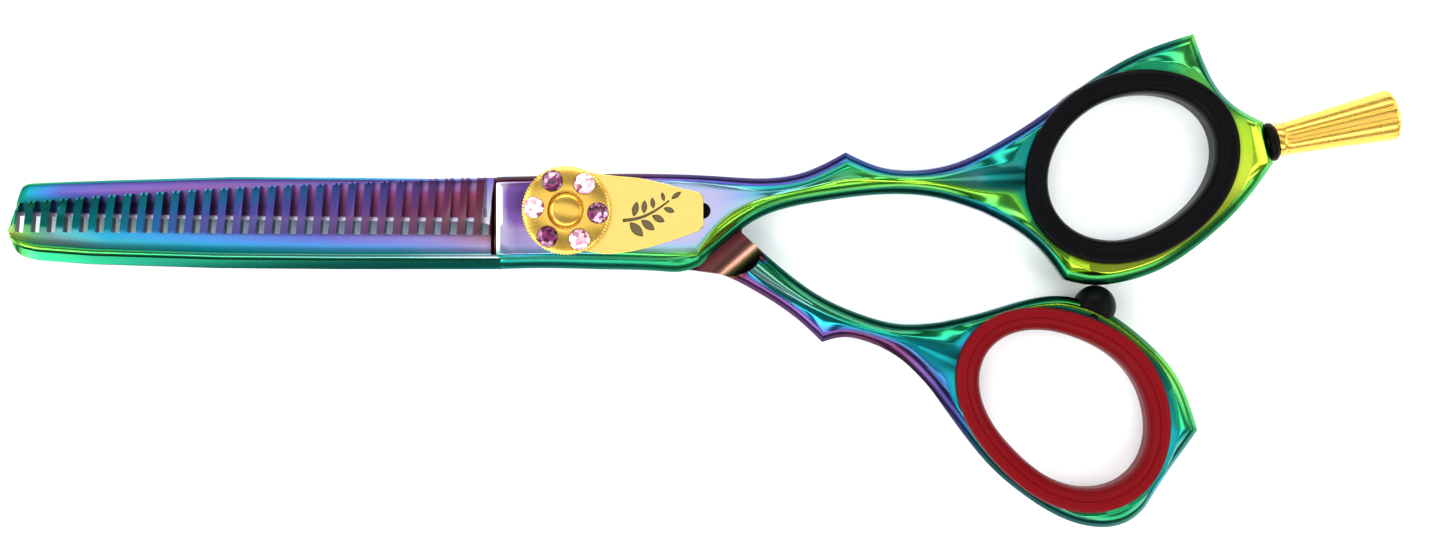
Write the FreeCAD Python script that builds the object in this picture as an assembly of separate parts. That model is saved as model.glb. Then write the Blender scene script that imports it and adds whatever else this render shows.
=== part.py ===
import FreeCAD, Part
import math
import os
from FreeCAD import Vector

os.makedirs("parts", exist_ok=True)

# Driving dimensions in millimetres. X runs from the blades to the handles, Y towards the finger ring,
# Z up from the resting plane. The pivot axis is X = Y = 0.

# Overall sizes
blade_reach = 67.8            # pivot axis to blade tip
handle_reach = 85.5           # pivot axis to the finger rest's mounting face
blade_heel = 8.3              # pivot axis to the step where the comb blade rises into its boss
neck_radius = 21.2            # both necks are full thickness outside this radius

# Height stack
metal_low = 0.7               # underside of both handles
metal_high = 5.7              # upper side of both handles
wall_inset = 1.4              # depth of the bevelled band on the handles
bevel_width = 0.8             # width of that band seen from above
blade_plane = 3.1             # the plane where the two blades meet
blade_gap = 0.02              # each blade stands back from that plane by this much
plate_low = 0.6               # underside of the straight blade
boss_high = 6.0               # top of the comb half's boss
comb_tip_high = 4.5           # comb blade's height at the tooth tips
comb_spine_high = 5.45        # comb blade's height at the spine

# Comb
slot_count = 30
slot_width = 1.0
slot_lean = 4.0               # degrees, leaning towards the handles
first_slot_inset = 1.3        # blade tip to the first slot's middle
last_slot_inset = 1.8         # heel step to the last slot's middle
notch_width = 0.4
notch_depth = 0.7

# Pivot and tension dial
screw_diameter = 5.0
screw_flat = 4.2              # across the two flats that lock the screw to the comb half
screw_head_diameter = 9.0
screw_head_height = 1.1
key_hole_radius = 0.55        # two blind holes in the head for a pin key
key_hole_circle = 2.6
rear_washer_height = 0.2
bush_wall = 0.7
thrust_washer_height = 0.38
leaf_height = 0.8
leaf_half_width = 4.8
leaf_reach = 16.4
leaf_pin_radius = 0.8
leaf_pin_place = 11.5         # pivot axis to the pin that keeps the plate from turning
leaf_pin_cover = 0.3          # metal left above the pin
service_hole_radius = 0.97    # half under the end of the leaf plate
dial_diameter = 11.05
dial_rim_height = 1.65
dial_dome_height = 0.7
knurl_count = 84
knurl_depth = 0.2
spring_thickness = 0.2
well_diameter = 4.3
well_depth = 0.9
cap_diameter = 3.5
cap_stem_diameter = 2.4
crystal_count = 6
crystal_diameter = 2.5
crystal_circle = 3.85
crystal_first_angle = -5.0
crystal_depth = 0.9

# Finger and thumb holes, drawn at the handle reach above: middle, half length, half width, tilt
finger_middle = (67.95, 5.4)
finger_half_length = 10.6
finger_half_width = 8.3
finger_tilt = 29.0
thumb_middle = (60.6, -24.0)
thumb_half_length = 11.3
thumb_half_width = 8.2
thumb_tilt = -39.5
sleeve_wall = 1.1             # insert's wall inside the metal ring
lip_overhang = 1.8            # insert's lip over the ring's face
lip_height = metal_low

# Finger rest and bumper
rest_angle = 12.75            # degrees from +X
rest_base_diameter = 3.9
rest_end_diameter = 6.3
rest_length = 15.4
rest_dome = 1.1
flute_count = 12
flute_depth = 0.13            # share of the radius at each place
stud_diameter = 2.3
stud_depth = 3.8
ring_section = 1.2            # thickness of the rubber ring under the rest
bumper_radius = 2.6
bumper_plug_radius = 1.1
bumper_plug_depth = 1.4

# Clearances
running_clearance = 0.03      # radial, between pieces that turn on each other
seat_clearance = 0.01         # between pieces that are fixed together
rest_gap = 0.02               # bumper to finger ring with the shears closed

# Derived sizes
drawn_reach = 85.5            # reach at which the handle outlines below are drawn
drawn_blade = 67.8            # reach at which the blade outlines below are drawn
handle_factor = (handle_reach - neck_radius) / (drawn_reach - neck_radius)
blade_factor = (blade_reach - blade_heel) / (drawn_blade - blade_heel)
screw_radius = screw_diameter / 2
head_radius = screw_head_diameter / 2
bush_radius = screw_radius + bush_wall
upper_face = blade_plane + blade_gap
lower_face = blade_plane - blade_gap
washer_low = blade_plane - thrust_washer_height / 2
washer_high = blade_plane + thrust_washer_height / 2
head_recess = screw_head_height + rear_washer_height + seat_clearance
leaf_high = boss_high + leaf_height
dial_low = leaf_high + 0.05
dial_rim = dial_low + dial_rim_height
dial_top = dial_rim + dial_dome_height
well_floor = dial_top - well_depth
middle_height = (metal_low + metal_high) / 2


# Outline points, clockwise seen from above; each list is one smooth stretch between two corners
finger_outline = [
    [(13.6, 4.45), (20.9, 4.01), (25.7, 4.13), (30.6, 5.46), (33.64, 7.16)],
    [(33.64, 7.16), (37.9, 5.34), (42.0, 4.95), (47.6, 6.07), (54.9, 9.96), (62.2, 15.06), (69.5, 19.31),
     (75.89, 21.55)],
    [(75.89, 21.55), (77.35, 17.61), (79.17, 14.45), (81.6, 12.26), (84.27, 10.81)],
    [(84.27, 10.81), (85.49, 5.83)],
    [(85.49, 5.83), (84.27, 4.01), (81.6, 0.61), (76.74, -3.89), (71.89, -7.04), (67.03, -8.62),
     (63.5, -8.95), (60.2, -8.3)],
    [(60.2, -8.3), (57.32, -4.61), (52.46, -0.97), (45.17, 1.58), (37.89, 2.06), (30.6, 1.21),
     (23.31, -0.73), (18.58, -4.18), (15.91, -6.62)],
    [(15.91, -6.62), (13.6, -6.98)],
    [(13.6, -6.98), (13.6, 4.45)],
]
thumb_outline = [
    [(17.0, 1.5), (21.1, -2.6), (25.74, -6.8), (30.6, -10.32), (35.46, -12.51), (42.74, -13.84),
     (50.03, -12.39), (57.0, -10.5), (60.5, -10.36), (64.6, -11.78), (69.46, -15.18), (73.7, -19.8),
     (76.38, -26.6)],
    [(76.38, -26.6), (73.27, -30.93), (70.05, -35.88), (67.0, -38.0), (62.62, -38.12), (55.18, -34.36),
     (47.72, -26.71), (42.21, -19.82), (38.0, -16.5), (33.15, -15.3), (30.8, -15.9)],
    [(30.8, -15.9), (28.11, -13.36), (22.08, -9.35), (18.46, -7.65), (14.0, -7.05)],
    [(14.0, -7.05), (17.0, 1.5)],
]
comb_outline = [
    [(-8.3, 4.1), (-8.3, -7.04)],
    [(-8.3, -7.04), (-27.7, -7.04), (-42.3, -6.92), (-63.5, -6.07)],
    [(-63.5, -6.07), (-66.5, -5.6), (-67.5, -4.6), (-67.8, -3.2), (-67.7, -0.6), (-67.2, 1.0)],
    [(-67.2, 1.0), (-53.8, 2.1), (-39.2, 3.0), (-24.0, 3.6), (-8.3, 4.1)],
]
straight_outline = [
    [(-10.0, 4.1), (-16.0, 4.0), (-26.0, 4.13), (-41.0, 4.25), (-56.8, 3.76), (-65.2, 3.2)],
    [(-65.2, 3.2), (-66.5, 2.2), (-67.2, 1.0), (-67.3, -0.5)],
    [(-67.3, -0.5), (-55.0, -0.8), (-37.0, -1.05), (-20.0, -1.2), (-11.0, -1.25)],
    [(-11.0, -1.25), (-7.5, -2.6), (-3.0, -6.2), (2.0, -6.6), (9.0, -6.6), (14.0, -7.05),
     (18.46, -7.65)],
]


def handle_point(point):
    """Handle point moved to suit the reach set above; beyond the neck it is plain scaling."""
    x, y = point
    if x <= neck_radius:
        return point
    share = min(1.0, (x - neck_radius) / 12)
    return (neck_radius + (x - neck_radius) * handle_factor, y * (1 + (handle_factor - 1) * share))


def blade_point(point):
    """Blade point moved to suit the reach set above."""
    x, y = point
    if x >= -blade_heel:
        return point
    return (-blade_heel + (x + blade_heel) * blade_factor, y)


def stretched(outline, move):
    return [[move(point) for point in stretch] for stretch in outline]


def curve(points, z):
    corners = [Vector(x, y, z) for x, y in points]
    if len(corners) == 2:
        return Part.makeLine(corners[0], corners[1])
    spline = Part.BSplineCurve()
    spline.interpolate(corners)
    return spline.toShape()


def loop(outline, z):
    return Part.Wire([curve(stretch, z) for stretch in outline])


def inward_normals(points):
    """Unit normals pointing to the right of travel, which is inside a clockwise outline."""
    edge = curve(points, 0)
    found = []
    for x, y in points:
        tangent = edge.tangentAt(edge.Curve.parameter(Vector(x, y, 0)))
        found.append(Vector(tangent.y, -tangent.x, 0).normalize())
    return found


def narrowed(outline, distance):
    """The same outline moved inwards, with mitred corners."""
    normals = [inward_normals(stretch) for stretch in outline]
    result = []
    for index, stretch in enumerate(outline):
        before = normals[index - 1][-1]
        after = normals[(index + 1) % len(outline)][0]
        moved = []
        for place, (x, y) in enumerate(stretch):
            normal = normals[index][place]
            if place == 0:
                normal = mitre(before, normal)
            if place == len(stretch) - 1:
                normal = mitre(normals[index][place], after)
            moved.append((x + normal.x * distance, y + normal.y * distance))
        result.append(moved)
    return result


def mitre(first, second):
    total = (first + second).normalize()
    return total * (1 / total.dot(first))


def slab(outline, low, high):
    face = Part.Face(loop(outline, low))
    return face.extrude(Vector(0, 0, high - low))


def cylinder(radius, low, high, x=0.0, y=0.0):
    return Part.makeCylinder(radius, high - low, Vector(x, y, low))


def tube(outer, inner, low, high):
    return cylinder(outer, low, high).cut(cylinder(inner, low - 1, high + 1))


def oval(middle, half_length, half_width, tilt, low, high):
    """Upright oval cylinder."""
    x, y = handle_point(middle)
    ellipse = Part.Ellipse(Vector(0, 0, 0), half_length, half_width)
    prism = Part.Face(Part.Wire(ellipse.toShape())).extrude(Vector(0, 0, high - low))
    prism.rotate(Vector(0, 0, 0), Vector(0, 0, 1), tilt)
    prism.translate(Vector(x, y, low))
    return prism


def double_flat(radius, across, low, high):
    """Round bar with two flats."""
    side = 4 * radius
    block = Part.makeBox(side, across, high - low, Vector(-side / 2, -across / 2, low))
    return cylinder(radius, low, high).common(block)


def handle_blank(outline):
    """Both faces of a handle with the bevelled band all round."""
    inner = narrowed(outline, bevel_width)
    loops = [loop(inner, metal_low), loop(outline, metal_low + wall_inset)]
    loops += [loop(outline, metal_high - wall_inset), loop(inner, metal_high)]
    return Part.makeLoft(loops, True, True)


def ring_hole(middle, half_length, half_width, tilt):
    grown = sleeve_wall
    return oval(middle, half_length * handle_factor + grown, half_width * handle_factor + grown, tilt,
                metal_low - 2, metal_high + 2)


def ring_insert(middle, half_length, half_width, tilt):
    """Soft sleeve with a lip over each face of the ring."""
    length = half_length * handle_factor
    width = half_width * handle_factor
    wall = sleeve_wall - seat_clearance
    lip = sleeve_wall + lip_overhang
    high = metal_high + lip_height
    body = oval(middle, length + wall, width + wall, tilt, metal_low - lip_height, high)
    lower = oval(middle, length + lip, width + lip, tilt, metal_low - lip_height, metal_low)
    upper = oval(middle, length + lip, width + lip, tilt, metal_high, high)
    bore = oval(middle, length, width, tilt, metal_low - 2, metal_high + 2)
    return body.fuse([lower, upper]).cut(bore).removeSplitter()


def above_plane(first, second, third):
    """Everything above the plane through three points, as a large block."""
    reach = 300
    across = (second - first).cross(third - first).normalize()
    if across.z < 0:
        across = across * -1
    block = Part.makeBox(reach, reach, reach, Vector(-reach / 2, -reach / 2, 0))
    block.Placement = FreeCAD.Placement(first, FreeCAD.Rotation(Vector(0, 0, 1), across))
    return block


def slot_positions():
    start = -blade_reach + first_slot_inset
    end = -blade_heel - last_slot_inset
    pitch = (end - start) / (slot_count - 1)
    return [start + pitch * index for index in range(slot_count)]


def comb_slot(x):
    """One gap between two teeth, with a round bottom."""
    share = (x + blade_reach) / (blade_reach - blade_heel)
    bottom = -2.48 - 0.38 * share
    half = slot_width / 2
    cut = Part.makeBox(slot_width, 12, 8, Vector(-half, 0, 0))
    cut = cut.fuse(Part.makeCylinder(half, 8, Vector(0, 0, 0)))
    cut.rotate(Vector(0, 0, 0), Vector(0, 0, 1), -slot_lean)
    cut.translate(Vector(x, bottom, 0))
    return cut


def tooth_notch(tooth, tip):
    """The small V in one tooth's tip."""
    half = notch_width / 2
    corners = [(-half, 0.2), (half, 0.2), (0.05, -notch_depth), (-0.05, -notch_depth)]
    outline = Part.makePolygon([Vector(x, y, 0) for x, y in corners + corners[:1]])
    cut = Part.Face(outline).extrude(Vector(0, 0, 8))
    cut.rotate(Vector(0, 0, 0), Vector(0, 0, 1), -slot_lean)
    cut.translate(Vector(tooth, tip, 0))
    return cut


def tip_line(x):
    """Y of the tooth tips, which run straighter than the blade's edge."""
    share = (x + blade_reach) / (blade_reach - blade_heel)
    return 0.98 + 4.7 * share - 1.55 * share * share


def comb_blade():
    plate = slab(stretched(comb_outline, blade_point), upper_face, boss_high)
    # Outer face, lower towards the tooth tips and the blade tip
    face = above_plane(Vector(0, -5.6, comb_spine_high), Vector(-50, -5.6, comb_spine_high - 0.4),
                       Vector(0, 4.0, comb_tip_high))
    # Bevel along the spine
    bevel = above_plane(Vector(0, -5.7, comb_spine_high), Vector(-50, -5.35, comb_spine_high - 0.4),
                        Vector(0, -7.1, 4.2))
    plate = plate.cut([face, bevel])
    cuts = [comb_slot(x) for x in slot_positions()]
    pitch = slot_positions()[1] - slot_positions()[0]
    for x in slot_positions():
        tooth = x + pitch / 2
        if tooth < -blade_heel - slot_width:
            top = tip_line(tooth)
            cuts.append(tooth_notch(tooth + math.tan(math.radians(slot_lean)) * (top + 2.7), top))
    return plate.cut(cuts)


def boss():
    """Raised boss around the pivot, with sloping sides."""
    base = [(-8.9, -7.04), (4.0, -6.85), (11.2, -7.2), (15.91, -6.62), (20.2, -2.9), (20.6, 3.95),
            (11.2, 4.47), (-8.3, 4.13)]
    top = [(-8.3, -5.3), (4.0, -5.2), (10.0, -5.35), (14.8, -5.3), (18.0, -2.2), (18.0, 3.0),
           (11.2, 3.8), (-7.9, 3.4)]
    rings = []
    for points, z in ((base, upper_face), (base, upper_face + 1.2), (top, boss_high)):
        corners = [Vector(x, y, z) for x, y in points]
        rings.append(Part.makePolygon(corners + corners[:1]))
    return Part.makeLoft(rings, True, True)


def rest_direction():
    angle = math.radians(rest_angle)
    return Vector(math.cos(angle), math.sin(angle), 0)


def rest_face():
    """Middle of the flat where the finger rest is screwed on."""
    first = handle_point(finger_outline[3][0])
    second = handle_point(finger_outline[3][1])
    return Vector((first[0] + second[0]) / 2, (first[1] + second[1]) / 2, middle_height)


def along_rest(radius, start, end):
    origin = rest_face() + rest_direction() * start
    return Part.makeCylinder(radius, end - start, origin, rest_direction())


def comb_half():
    outline = stretched(finger_outline, handle_point)
    handle = handle_blank(outline)
    relief = cylinder(neck_radius + 0.1, -1, upper_face)
    hole = ring_hole(finger_middle, finger_half_length, finger_half_width, finger_tilt)
    handle = handle.cut([hole, relief])
    metal = handle.fuse([comb_blade(), boss()])
    bore = double_flat(screw_radius + seat_clearance, screw_flat + 2 * seat_clearance, 0, boss_high + 1)
    recess = cylinder(head_radius + running_clearance, 0, washer_high + seat_clearance)
    service_hole = cylinder(service_hole_radius, upper_face - 1, boss_high + 1, leaf_reach - 0.1)
    pin_hole = cylinder(leaf_pin_radius + seat_clearance, boss_high - 1.5, boss_high + 1, leaf_pin_place)
    stud_hole = along_rest(stud_diameter / 2 + running_clearance, -stud_depth - 0.3, 1)
    # A flat for the finger rest, square to its axis
    flat = Part.makeBox(10, 14, 14, Vector(0, -7, -7))
    turned = FreeCAD.Rotation(Vector(0, 0, 1), rest_angle)
    flat.Placement = FreeCAD.Placement(rest_face(), turned)
    metal = metal.cut([bore, recess, service_hole, pin_hole, stud_hole, flat])
    return metal.removeSplitter()


def straight_plate():
    """The straight blade and the thin heel that turns under the comb half."""
    start = math.asin(3.95 / neck_radius)
    end = math.asin(-2.75 / neck_radius)
    angles = (start, (start + end) / 2, end)
    arc_ends = [(neck_radius * math.cos(a), neck_radius * math.sin(a)) for a in angles]
    moved = stretched(straight_outline, blade_point)
    arc = Part.Arc(*[Vector(x, y, plate_low) for x, y in arc_ends]).toShape()
    edges = [curve(stretch, plate_low) for stretch in moved]
    edges.append(curve([moved[-1][-1], arc_ends[2]], plate_low))
    edges.append(arc)
    edges.append(curve([arc_ends[0], moved[0][0]], plate_low))
    outline = Part.Wire(Part.__sortEdges__(edges))
    plate = Part.Face(outline).extrude(Vector(0, 0, lower_face - plate_low))
    return plate.cut([blade_grind()])


def blade_grind():
    """Material removed from the outer face so that the blade thins to its cutting edge and its tip."""
    spine = Vector(-blade_heel - 2, 3.0, plate_low)
    tip = Vector(-blade_reach, 3.0, plate_low + 0.9)
    edge = Vector(-blade_heel - 2, -1.2, lower_face - 0.35)
    kept = above_plane(spine, tip, edge)
    block = Part.makeBox(blade_reach, 20, 10, Vector(-blade_heel - 2 - blade_reach, -10, -5))
    return block.cut(kept)


def scoop():
    """Metal removed above the thin heel, ending in a hollow ramp beside the comb half's edge."""
    first = Vector(finger_outline[5][-1][0] + 0.4, finger_outline[5][-1][1] - 0.3, 0)
    second = Vector(neck_radius + 0.3, -2.5, 0)
    along = (second - first).normalize()
    width = 3.9
    rise = metal_high - lower_face
    radius = (width * width + rise * rise) / (2 * rise)
    axis = first - along * 20
    groove = Part.makeCylinder(radius, 60, axis + Vector(0, 0, lower_face + radius), along)
    turn = math.degrees(math.atan2(along.y, along.x))
    block = Part.makeBox(60, 40, 20, Vector(0, 0, lower_face))
    block.Placement = FreeCAD.Placement(axis, FreeCAD.Rotation(Vector(0, 0, 1), turn))
    return block.fuse(groove)


def bumper_place():
    """Ball centre of the bumper: it just clears the finger ring when the shears are closed."""
    outline = stretched(finger_outline, handle_point)
    edge = curve(outline[4], middle_height)
    foot = handle_point((63.85, -12.0))
    along = Vector(0.345, 0.938, 0).normalize()
    low, high = 0.0, 4.0
    for step in range(40):
        travel = (low + high) / 2
        centre = Vector(foot[0], foot[1], middle_height) + along * (travel - 2)
        gap = edge.distToShape(Part.Vertex(centre))[0] - bumper_radius
        if gap > rest_gap:
            low = travel
        else:
            high = travel
    return centre, along


def bumper_root():
    """Distance from the bumper's ball centre to the thumb ring below it."""
    centre = bumper_place()[0]
    edge = curve(stretched(thumb_outline, handle_point)[0], middle_height)
    return edge.distToShape(Part.Vertex(centre))[0]


def bumper_rod(radius, spare):
    centre, along = bumper_place()
    length = bumper_root() + bumper_plug_depth + spare
    return Part.makeCylinder(radius, length, centre - along * length, along)


def thumb_blank():
    hole = ring_hole(thumb_middle, thumb_half_length, thumb_half_width, thumb_tilt)
    return handle_blank(stretched(thumb_outline, handle_point)).cut(hole)


def bumper():
    centre, along = bumper_place()
    length = bumper_root() + 1
    trunk = Part.makeCylinder(bumper_radius, length, centre - along * length, along)
    dome = Part.makeSphere(bumper_radius, centre).fuse(trunk).cut(thumb_blank())
    dome = max(dome.Solids, key=lambda solid: solid.Volume)
    return dome.fuse(bumper_rod(bumper_plug_radius, 0)).removeSplitter()


def straight_half():
    handle = thumb_blank().cut(scoop())
    metal = handle.fuse(straight_plate())
    bore = cylinder(bush_radius + seat_clearance, -1, blade_plane + 1)
    head = cylinder(head_radius + running_clearance, -1, head_recess)
    recess = cylinder(head_radius + running_clearance, washer_low - seat_clearance, blade_plane + 1)
    socket = bumper_rod(bumper_plug_radius + seat_clearance, 0.1)
    return metal.cut([bore, head, recess, socket]).removeSplitter()


def pivot_screw():
    """Screw with a low head at the back, two flats through the comb half and a round top for the dial."""
    head = cylinder(head_radius, 0, screw_head_height)
    head = head.makeChamfer(0.3, [edge for edge in head.Edges if edge.BoundBox.ZMax < 0.01])
    lower = cylinder(screw_radius, 0, washer_high)
    middle = double_flat(screw_radius, screw_flat, upper_face, leaf_high)
    upper = cylinder(screw_flat / 2, leaf_high - 1, dial_top - well_depth - 0.6)
    stem = cylinder(cap_stem_diameter / 2 + seat_clearance, leaf_high, dial_top)
    holes = [cylinder(key_hole_radius, -1, 0.5, side * key_hole_circle) for side in (-1, 1)]
    return head.fuse([lower, middle, upper]).cut([stem] + holes).removeSplitter()


def pivot_bush():
    return tube(bush_radius, screw_radius + running_clearance, head_recess, washer_low - 2 * seat_clearance)


def rear_washer():
    inner = screw_radius + running_clearance
    return tube(head_radius, inner, screw_head_height, screw_head_height + rear_washer_height)


def thrust_washer():
    return tube(head_radius, screw_radius + running_clearance, washer_low, washer_high)


def leaf_outline():
    half = leaf_half_width
    scale = leaf_reach / 16.4
    top = [(2.0, half), (5.6 * scale, 4.2), (8.8 * scale, 3.9), (13.2 * scale, 2.85), (leaf_reach - 0.5, 2.2)]
    end = [(leaf_reach - 0.5, 2.2), (leaf_reach, 1.7)]
    tip = [(leaf_reach, 1.7), (leaf_reach, -1.9)]
    corner = [(leaf_reach, -1.9), (leaf_reach - 0.5, -2.4)]
    bottom = [(leaf_reach - 0.5, -2.4), (11.0 * scale, -4.1), (7.7 * scale, -4.9), (4.5 * scale, -5.2),
              (2.0, -half)]
    return [top, end, tip, corner, bottom]


def leaf_plate():
    outline = leaf_outline()
    edges = [curve(stretch, boss_high) for stretch in outline]
    points = [(2.0, -leaf_half_width), (-leaf_half_width, 0.0), (2.0, leaf_half_width)]
    edges.append(Part.Arc(*[Vector(x, y, boss_high) for x, y in points]).toShape())
    plate = Part.Face(Part.Wire(edges)).extrude(Vector(0, 0, leaf_height))
    rim = [edge for edge in plate.Edges if edge.BoundBox.ZMin > leaf_high - 0.01]
    plate = plate.makeChamfer(0.2, rim)
    across = screw_flat + 2 * seat_clearance
    bore = double_flat(screw_radius + seat_clearance, across, boss_high - 1, leaf_high + 1)
    pin_top = leaf_high - leaf_pin_cover
    pin = cylinder(leaf_pin_radius + seat_clearance, boss_high - 1, pin_top, leaf_pin_place)
    return plate.cut([bore, pin])


def leaf_pin():
    high = leaf_high - leaf_pin_cover - seat_clearance
    return cylinder(leaf_pin_radius, boss_high - 1.4, high, leaf_pin_place)


def dial_spring():
    """Coned spring washer between the leaf plate and the dial."""
    inner = screw_radius + 0.5
    outer = leaf_half_width - 0.6
    t = spring_thickness
    high = dial_low + 0.5 - seat_clearance
    profile = [(outer, leaf_high), (outer, leaf_high + t), (inner, high), (inner, high - t)]
    face = Part.Face(Part.makePolygon([Vector(x, 0, z) for x, z in profile + profile[:1]]))
    return face.revolve(Vector(0, 0, 0), Vector(0, 0, 1), 360)


def knurl_star(radius, low, high):
    """Prism with fine V grooves all round."""
    corners = []
    for index in range(2 * knurl_count):
        reach = radius if index % 2 == 0 else radius - knurl_depth
        angle = math.pi * index / knurl_count
        corners.append(Vector(reach * math.cos(angle), reach * math.sin(angle), low))
    return Part.Face(Part.makePolygon(corners + corners[:1])).extrude(Vector(0, 0, high - low))


def crystal_places():
    for index in range(crystal_count):
        angle = math.radians(crystal_first_angle + 360 / crystal_count * index)
        yield crystal_circle * math.cos(angle), crystal_circle * math.sin(angle)


def dial_surface(radius):
    """Height of the dial's domed top."""
    share = (dial_diameter / 2 - radius) / (dial_diameter / 2 - well_diameter / 2)
    return dial_rim + dial_dome_height * share


def tension_dial():
    outer = dial_diameter / 2
    well = well_diameter / 2
    profile = [(0, dial_low), (outer - 0.2, dial_low), (outer, dial_low + 0.2), (outer, dial_rim),
               (well, dial_top), (well, well_floor), (0, well_floor)]
    face = Part.Face(Part.makePolygon([Vector(x, 0, z) for x, z in profile + profile[:1]]))
    body = face.revolve(Vector(0, 0, 0), Vector(0, 0, 1), 360)
    body = body.common(knurl_star(outer, dial_low - 1, dial_top + 1))
    cuts = [cylinder(screw_flat / 2 + running_clearance, dial_low - 1, well_floor - 0.5)]
    cuts.append(cylinder(cap_stem_diameter / 2 + running_clearance, dial_low, dial_top))
    cuts.append(cylinder(leaf_half_width - 0.4, dial_low - 1, dial_low + 0.5))
    top = dial_surface(crystal_circle)
    for x, y in crystal_places():
        cuts.append(cylinder(crystal_diameter / 2 + seat_clearance, top - crystal_depth, dial_top + 1, x, y))
    return body.cut(cuts)


def crystal(x, y):
    """Faceted stone: eight-sided crown, girdle and a shallow back."""
    top = dial_surface(crystal_circle) + 0.35
    levels = [(0.35, top - crystal_depth - 0.35), (1.0, top - 0.75), (1.0, top - 0.5), (0.58, top)]
    rings = []
    for share, z in levels:
        corners = []
        for index in range(8):
            angle = math.pi / 4 * (index + 0.5)
            reach = crystal_diameter / 2 * share
            corners.append(Vector(x + reach * math.cos(angle), y + reach * math.sin(angle), z))
        rings.append(Part.makePolygon(corners + corners[:1]))
    return Part.makeLoft(rings, True, True)


def dial_cap():
    """Small domed screw that locks the dial's stack to the pivot screw."""
    radius = cap_diameter / 2
    low = well_floor + seat_clearance
    side = low + 0.45
    rise = 0.55
    sphere_radius = (radius * radius + rise * rise) / (2 * rise)
    ball = Part.makeSphere(sphere_radius, Vector(0, 0, side + rise - sphere_radius))
    head = cylinder(radius, low, dial_top + 2).common(ball)
    return head.fuse(cylinder(cap_stem_diameter / 2, leaf_high + 0.1, low + 0.1)).removeSplitter()


def scalloped(radius, z):
    """Closed outline with a narrow land between hollow flutes."""
    edges = []
    step = 2 * math.pi / flute_count
    land = step * 0.16
    for index in range(flute_count):
        start = step * index
        angles = (start - land / 2, start + land / 2, start + step / 2, start + step - land / 2)
        reaches = (radius, radius, radius * (1 - flute_depth), radius)
        corners = [Vector(r * math.cos(a), r * math.sin(a), z) for r, a in zip(reaches, angles)]
        edges.append(Part.makeLine(corners[0], corners[1]))
        edges.append(Part.Arc(corners[1], corners[2], corners[3]).toShape())
    return Part.Wire(edges)


def finger_rest():
    """Fluted horn with a collar at its base and a domed end."""
    start = ring_section
    base = rest_base_diameter / 2
    end = rest_end_diameter / 2
    horn_low = start + 1.0
    slope = (end - base) / (rest_length - horn_low)
    spare = 3.0
    ends = [scalloped(base, horn_low), scalloped(end + slope * spare, rest_length + spare)]
    horn = Part.makeLoft(ends, True, True)
    dome_radius = (end * end + rest_dome * rest_dome) / (2 * rest_dome)
    ball = Part.makeSphere(dome_radius, Vector(0, 0, rest_length + rest_dome - dome_radius))
    horn = horn.common(cylinder(end + 1, horn_low - 1, rest_length + rest_dome + 1))
    block = cylinder(end + 1, rest_length - 2, rest_length + spare + 1)
    horn = horn.cut(block.cut(ball))
    horn = horn.fuse(cylinder(base, start, horn_low + 0.4))
    horn = horn.cut(cylinder(stud_diameter / 2 + seat_clearance, start - 1, start + 4))
    return placed_on_rest(horn.removeSplitter())


def placed_on_rest(shape):
    """Turns a piece drawn along Z so that it lies along the finger rest's axis."""
    shape.Placement = FreeCAD.Placement(rest_face(), FreeCAD.Rotation(Vector(0, 0, 1), rest_direction()))
    return shape


def rest_stud():
    return placed_on_rest(cylinder(stud_diameter / 2, -stud_depth, ring_section + 3.9))


def rest_ring():
    section = ring_section / 2
    ring = Part.makeTorus(stud_diameter / 2 + section + seat_clearance, section, Vector(0, 0, section))
    return placed_on_rest(ring)


def save(name, shape):
    shape.exportStep("parts/" + name + ".step")
    box = shape.BoundBox
    print(name, shape.isValid(), len(shape.Solids), round(shape.Volume, 2),
          [round(v, 2) for v in (box.XMin, box.XMax, box.YMin, box.YMax, box.ZMin, box.ZMax)])


save("comb_half", comb_half())
save("straight_half", straight_half())
save("finger_insert", ring_insert(finger_middle, finger_half_length, finger_half_width, finger_tilt))
save("thumb_insert", ring_insert(thumb_middle, thumb_half_length, thumb_half_width, thumb_tilt))
save("pivot_screw", pivot_screw())
save("pivot_bush", pivot_bush())
save("rear_washer", rear_washer())
save("thrust_washer", thrust_washer())
save("leaf_plate", leaf_plate())
save("leaf_pin", leaf_pin())
save("dial_spring", dial_spring())
save("tension_dial", tension_dial())
for number, (x, y) in enumerate(crystal_places()):
    save("crystal_" + str(number + 1), crystal(x, y))
save("dial_cap", dial_cap())
save("finger_rest", finger_rest())
save("finger_rest_stud", rest_stud())
save("finger_rest_ring", rest_ring())
save("bumper", bumper())
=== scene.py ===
import bpy
import math
import numpy as np
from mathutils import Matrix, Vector, kdtree


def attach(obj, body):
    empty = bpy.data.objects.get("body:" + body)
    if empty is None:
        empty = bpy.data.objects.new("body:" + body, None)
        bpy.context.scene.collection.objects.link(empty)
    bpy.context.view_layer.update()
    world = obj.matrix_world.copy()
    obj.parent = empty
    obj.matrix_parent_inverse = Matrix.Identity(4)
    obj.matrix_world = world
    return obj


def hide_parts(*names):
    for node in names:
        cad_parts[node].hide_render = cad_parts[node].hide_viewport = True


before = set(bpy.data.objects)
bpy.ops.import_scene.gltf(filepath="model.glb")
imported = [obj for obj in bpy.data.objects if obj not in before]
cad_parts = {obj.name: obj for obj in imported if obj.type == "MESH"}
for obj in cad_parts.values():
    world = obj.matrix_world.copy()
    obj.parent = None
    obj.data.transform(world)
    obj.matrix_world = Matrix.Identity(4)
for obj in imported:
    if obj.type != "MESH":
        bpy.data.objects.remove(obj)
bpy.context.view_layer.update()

# Lengths below are in millimetres, and mm turns them into Blender's metres
mm = 0.001
weldDistance = 0.002
middleHeight = 3.2        # mid-plane of both handles
lidPlane = 3.12           # inner face of the comb half
heelPlane = 3.08          # inner face of the straight half
neckRadius = 21.2         # the heel plate turns inside this circle
creaseAngle = 24          # edges of the steel sharper than this stay crisp, in degrees


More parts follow.
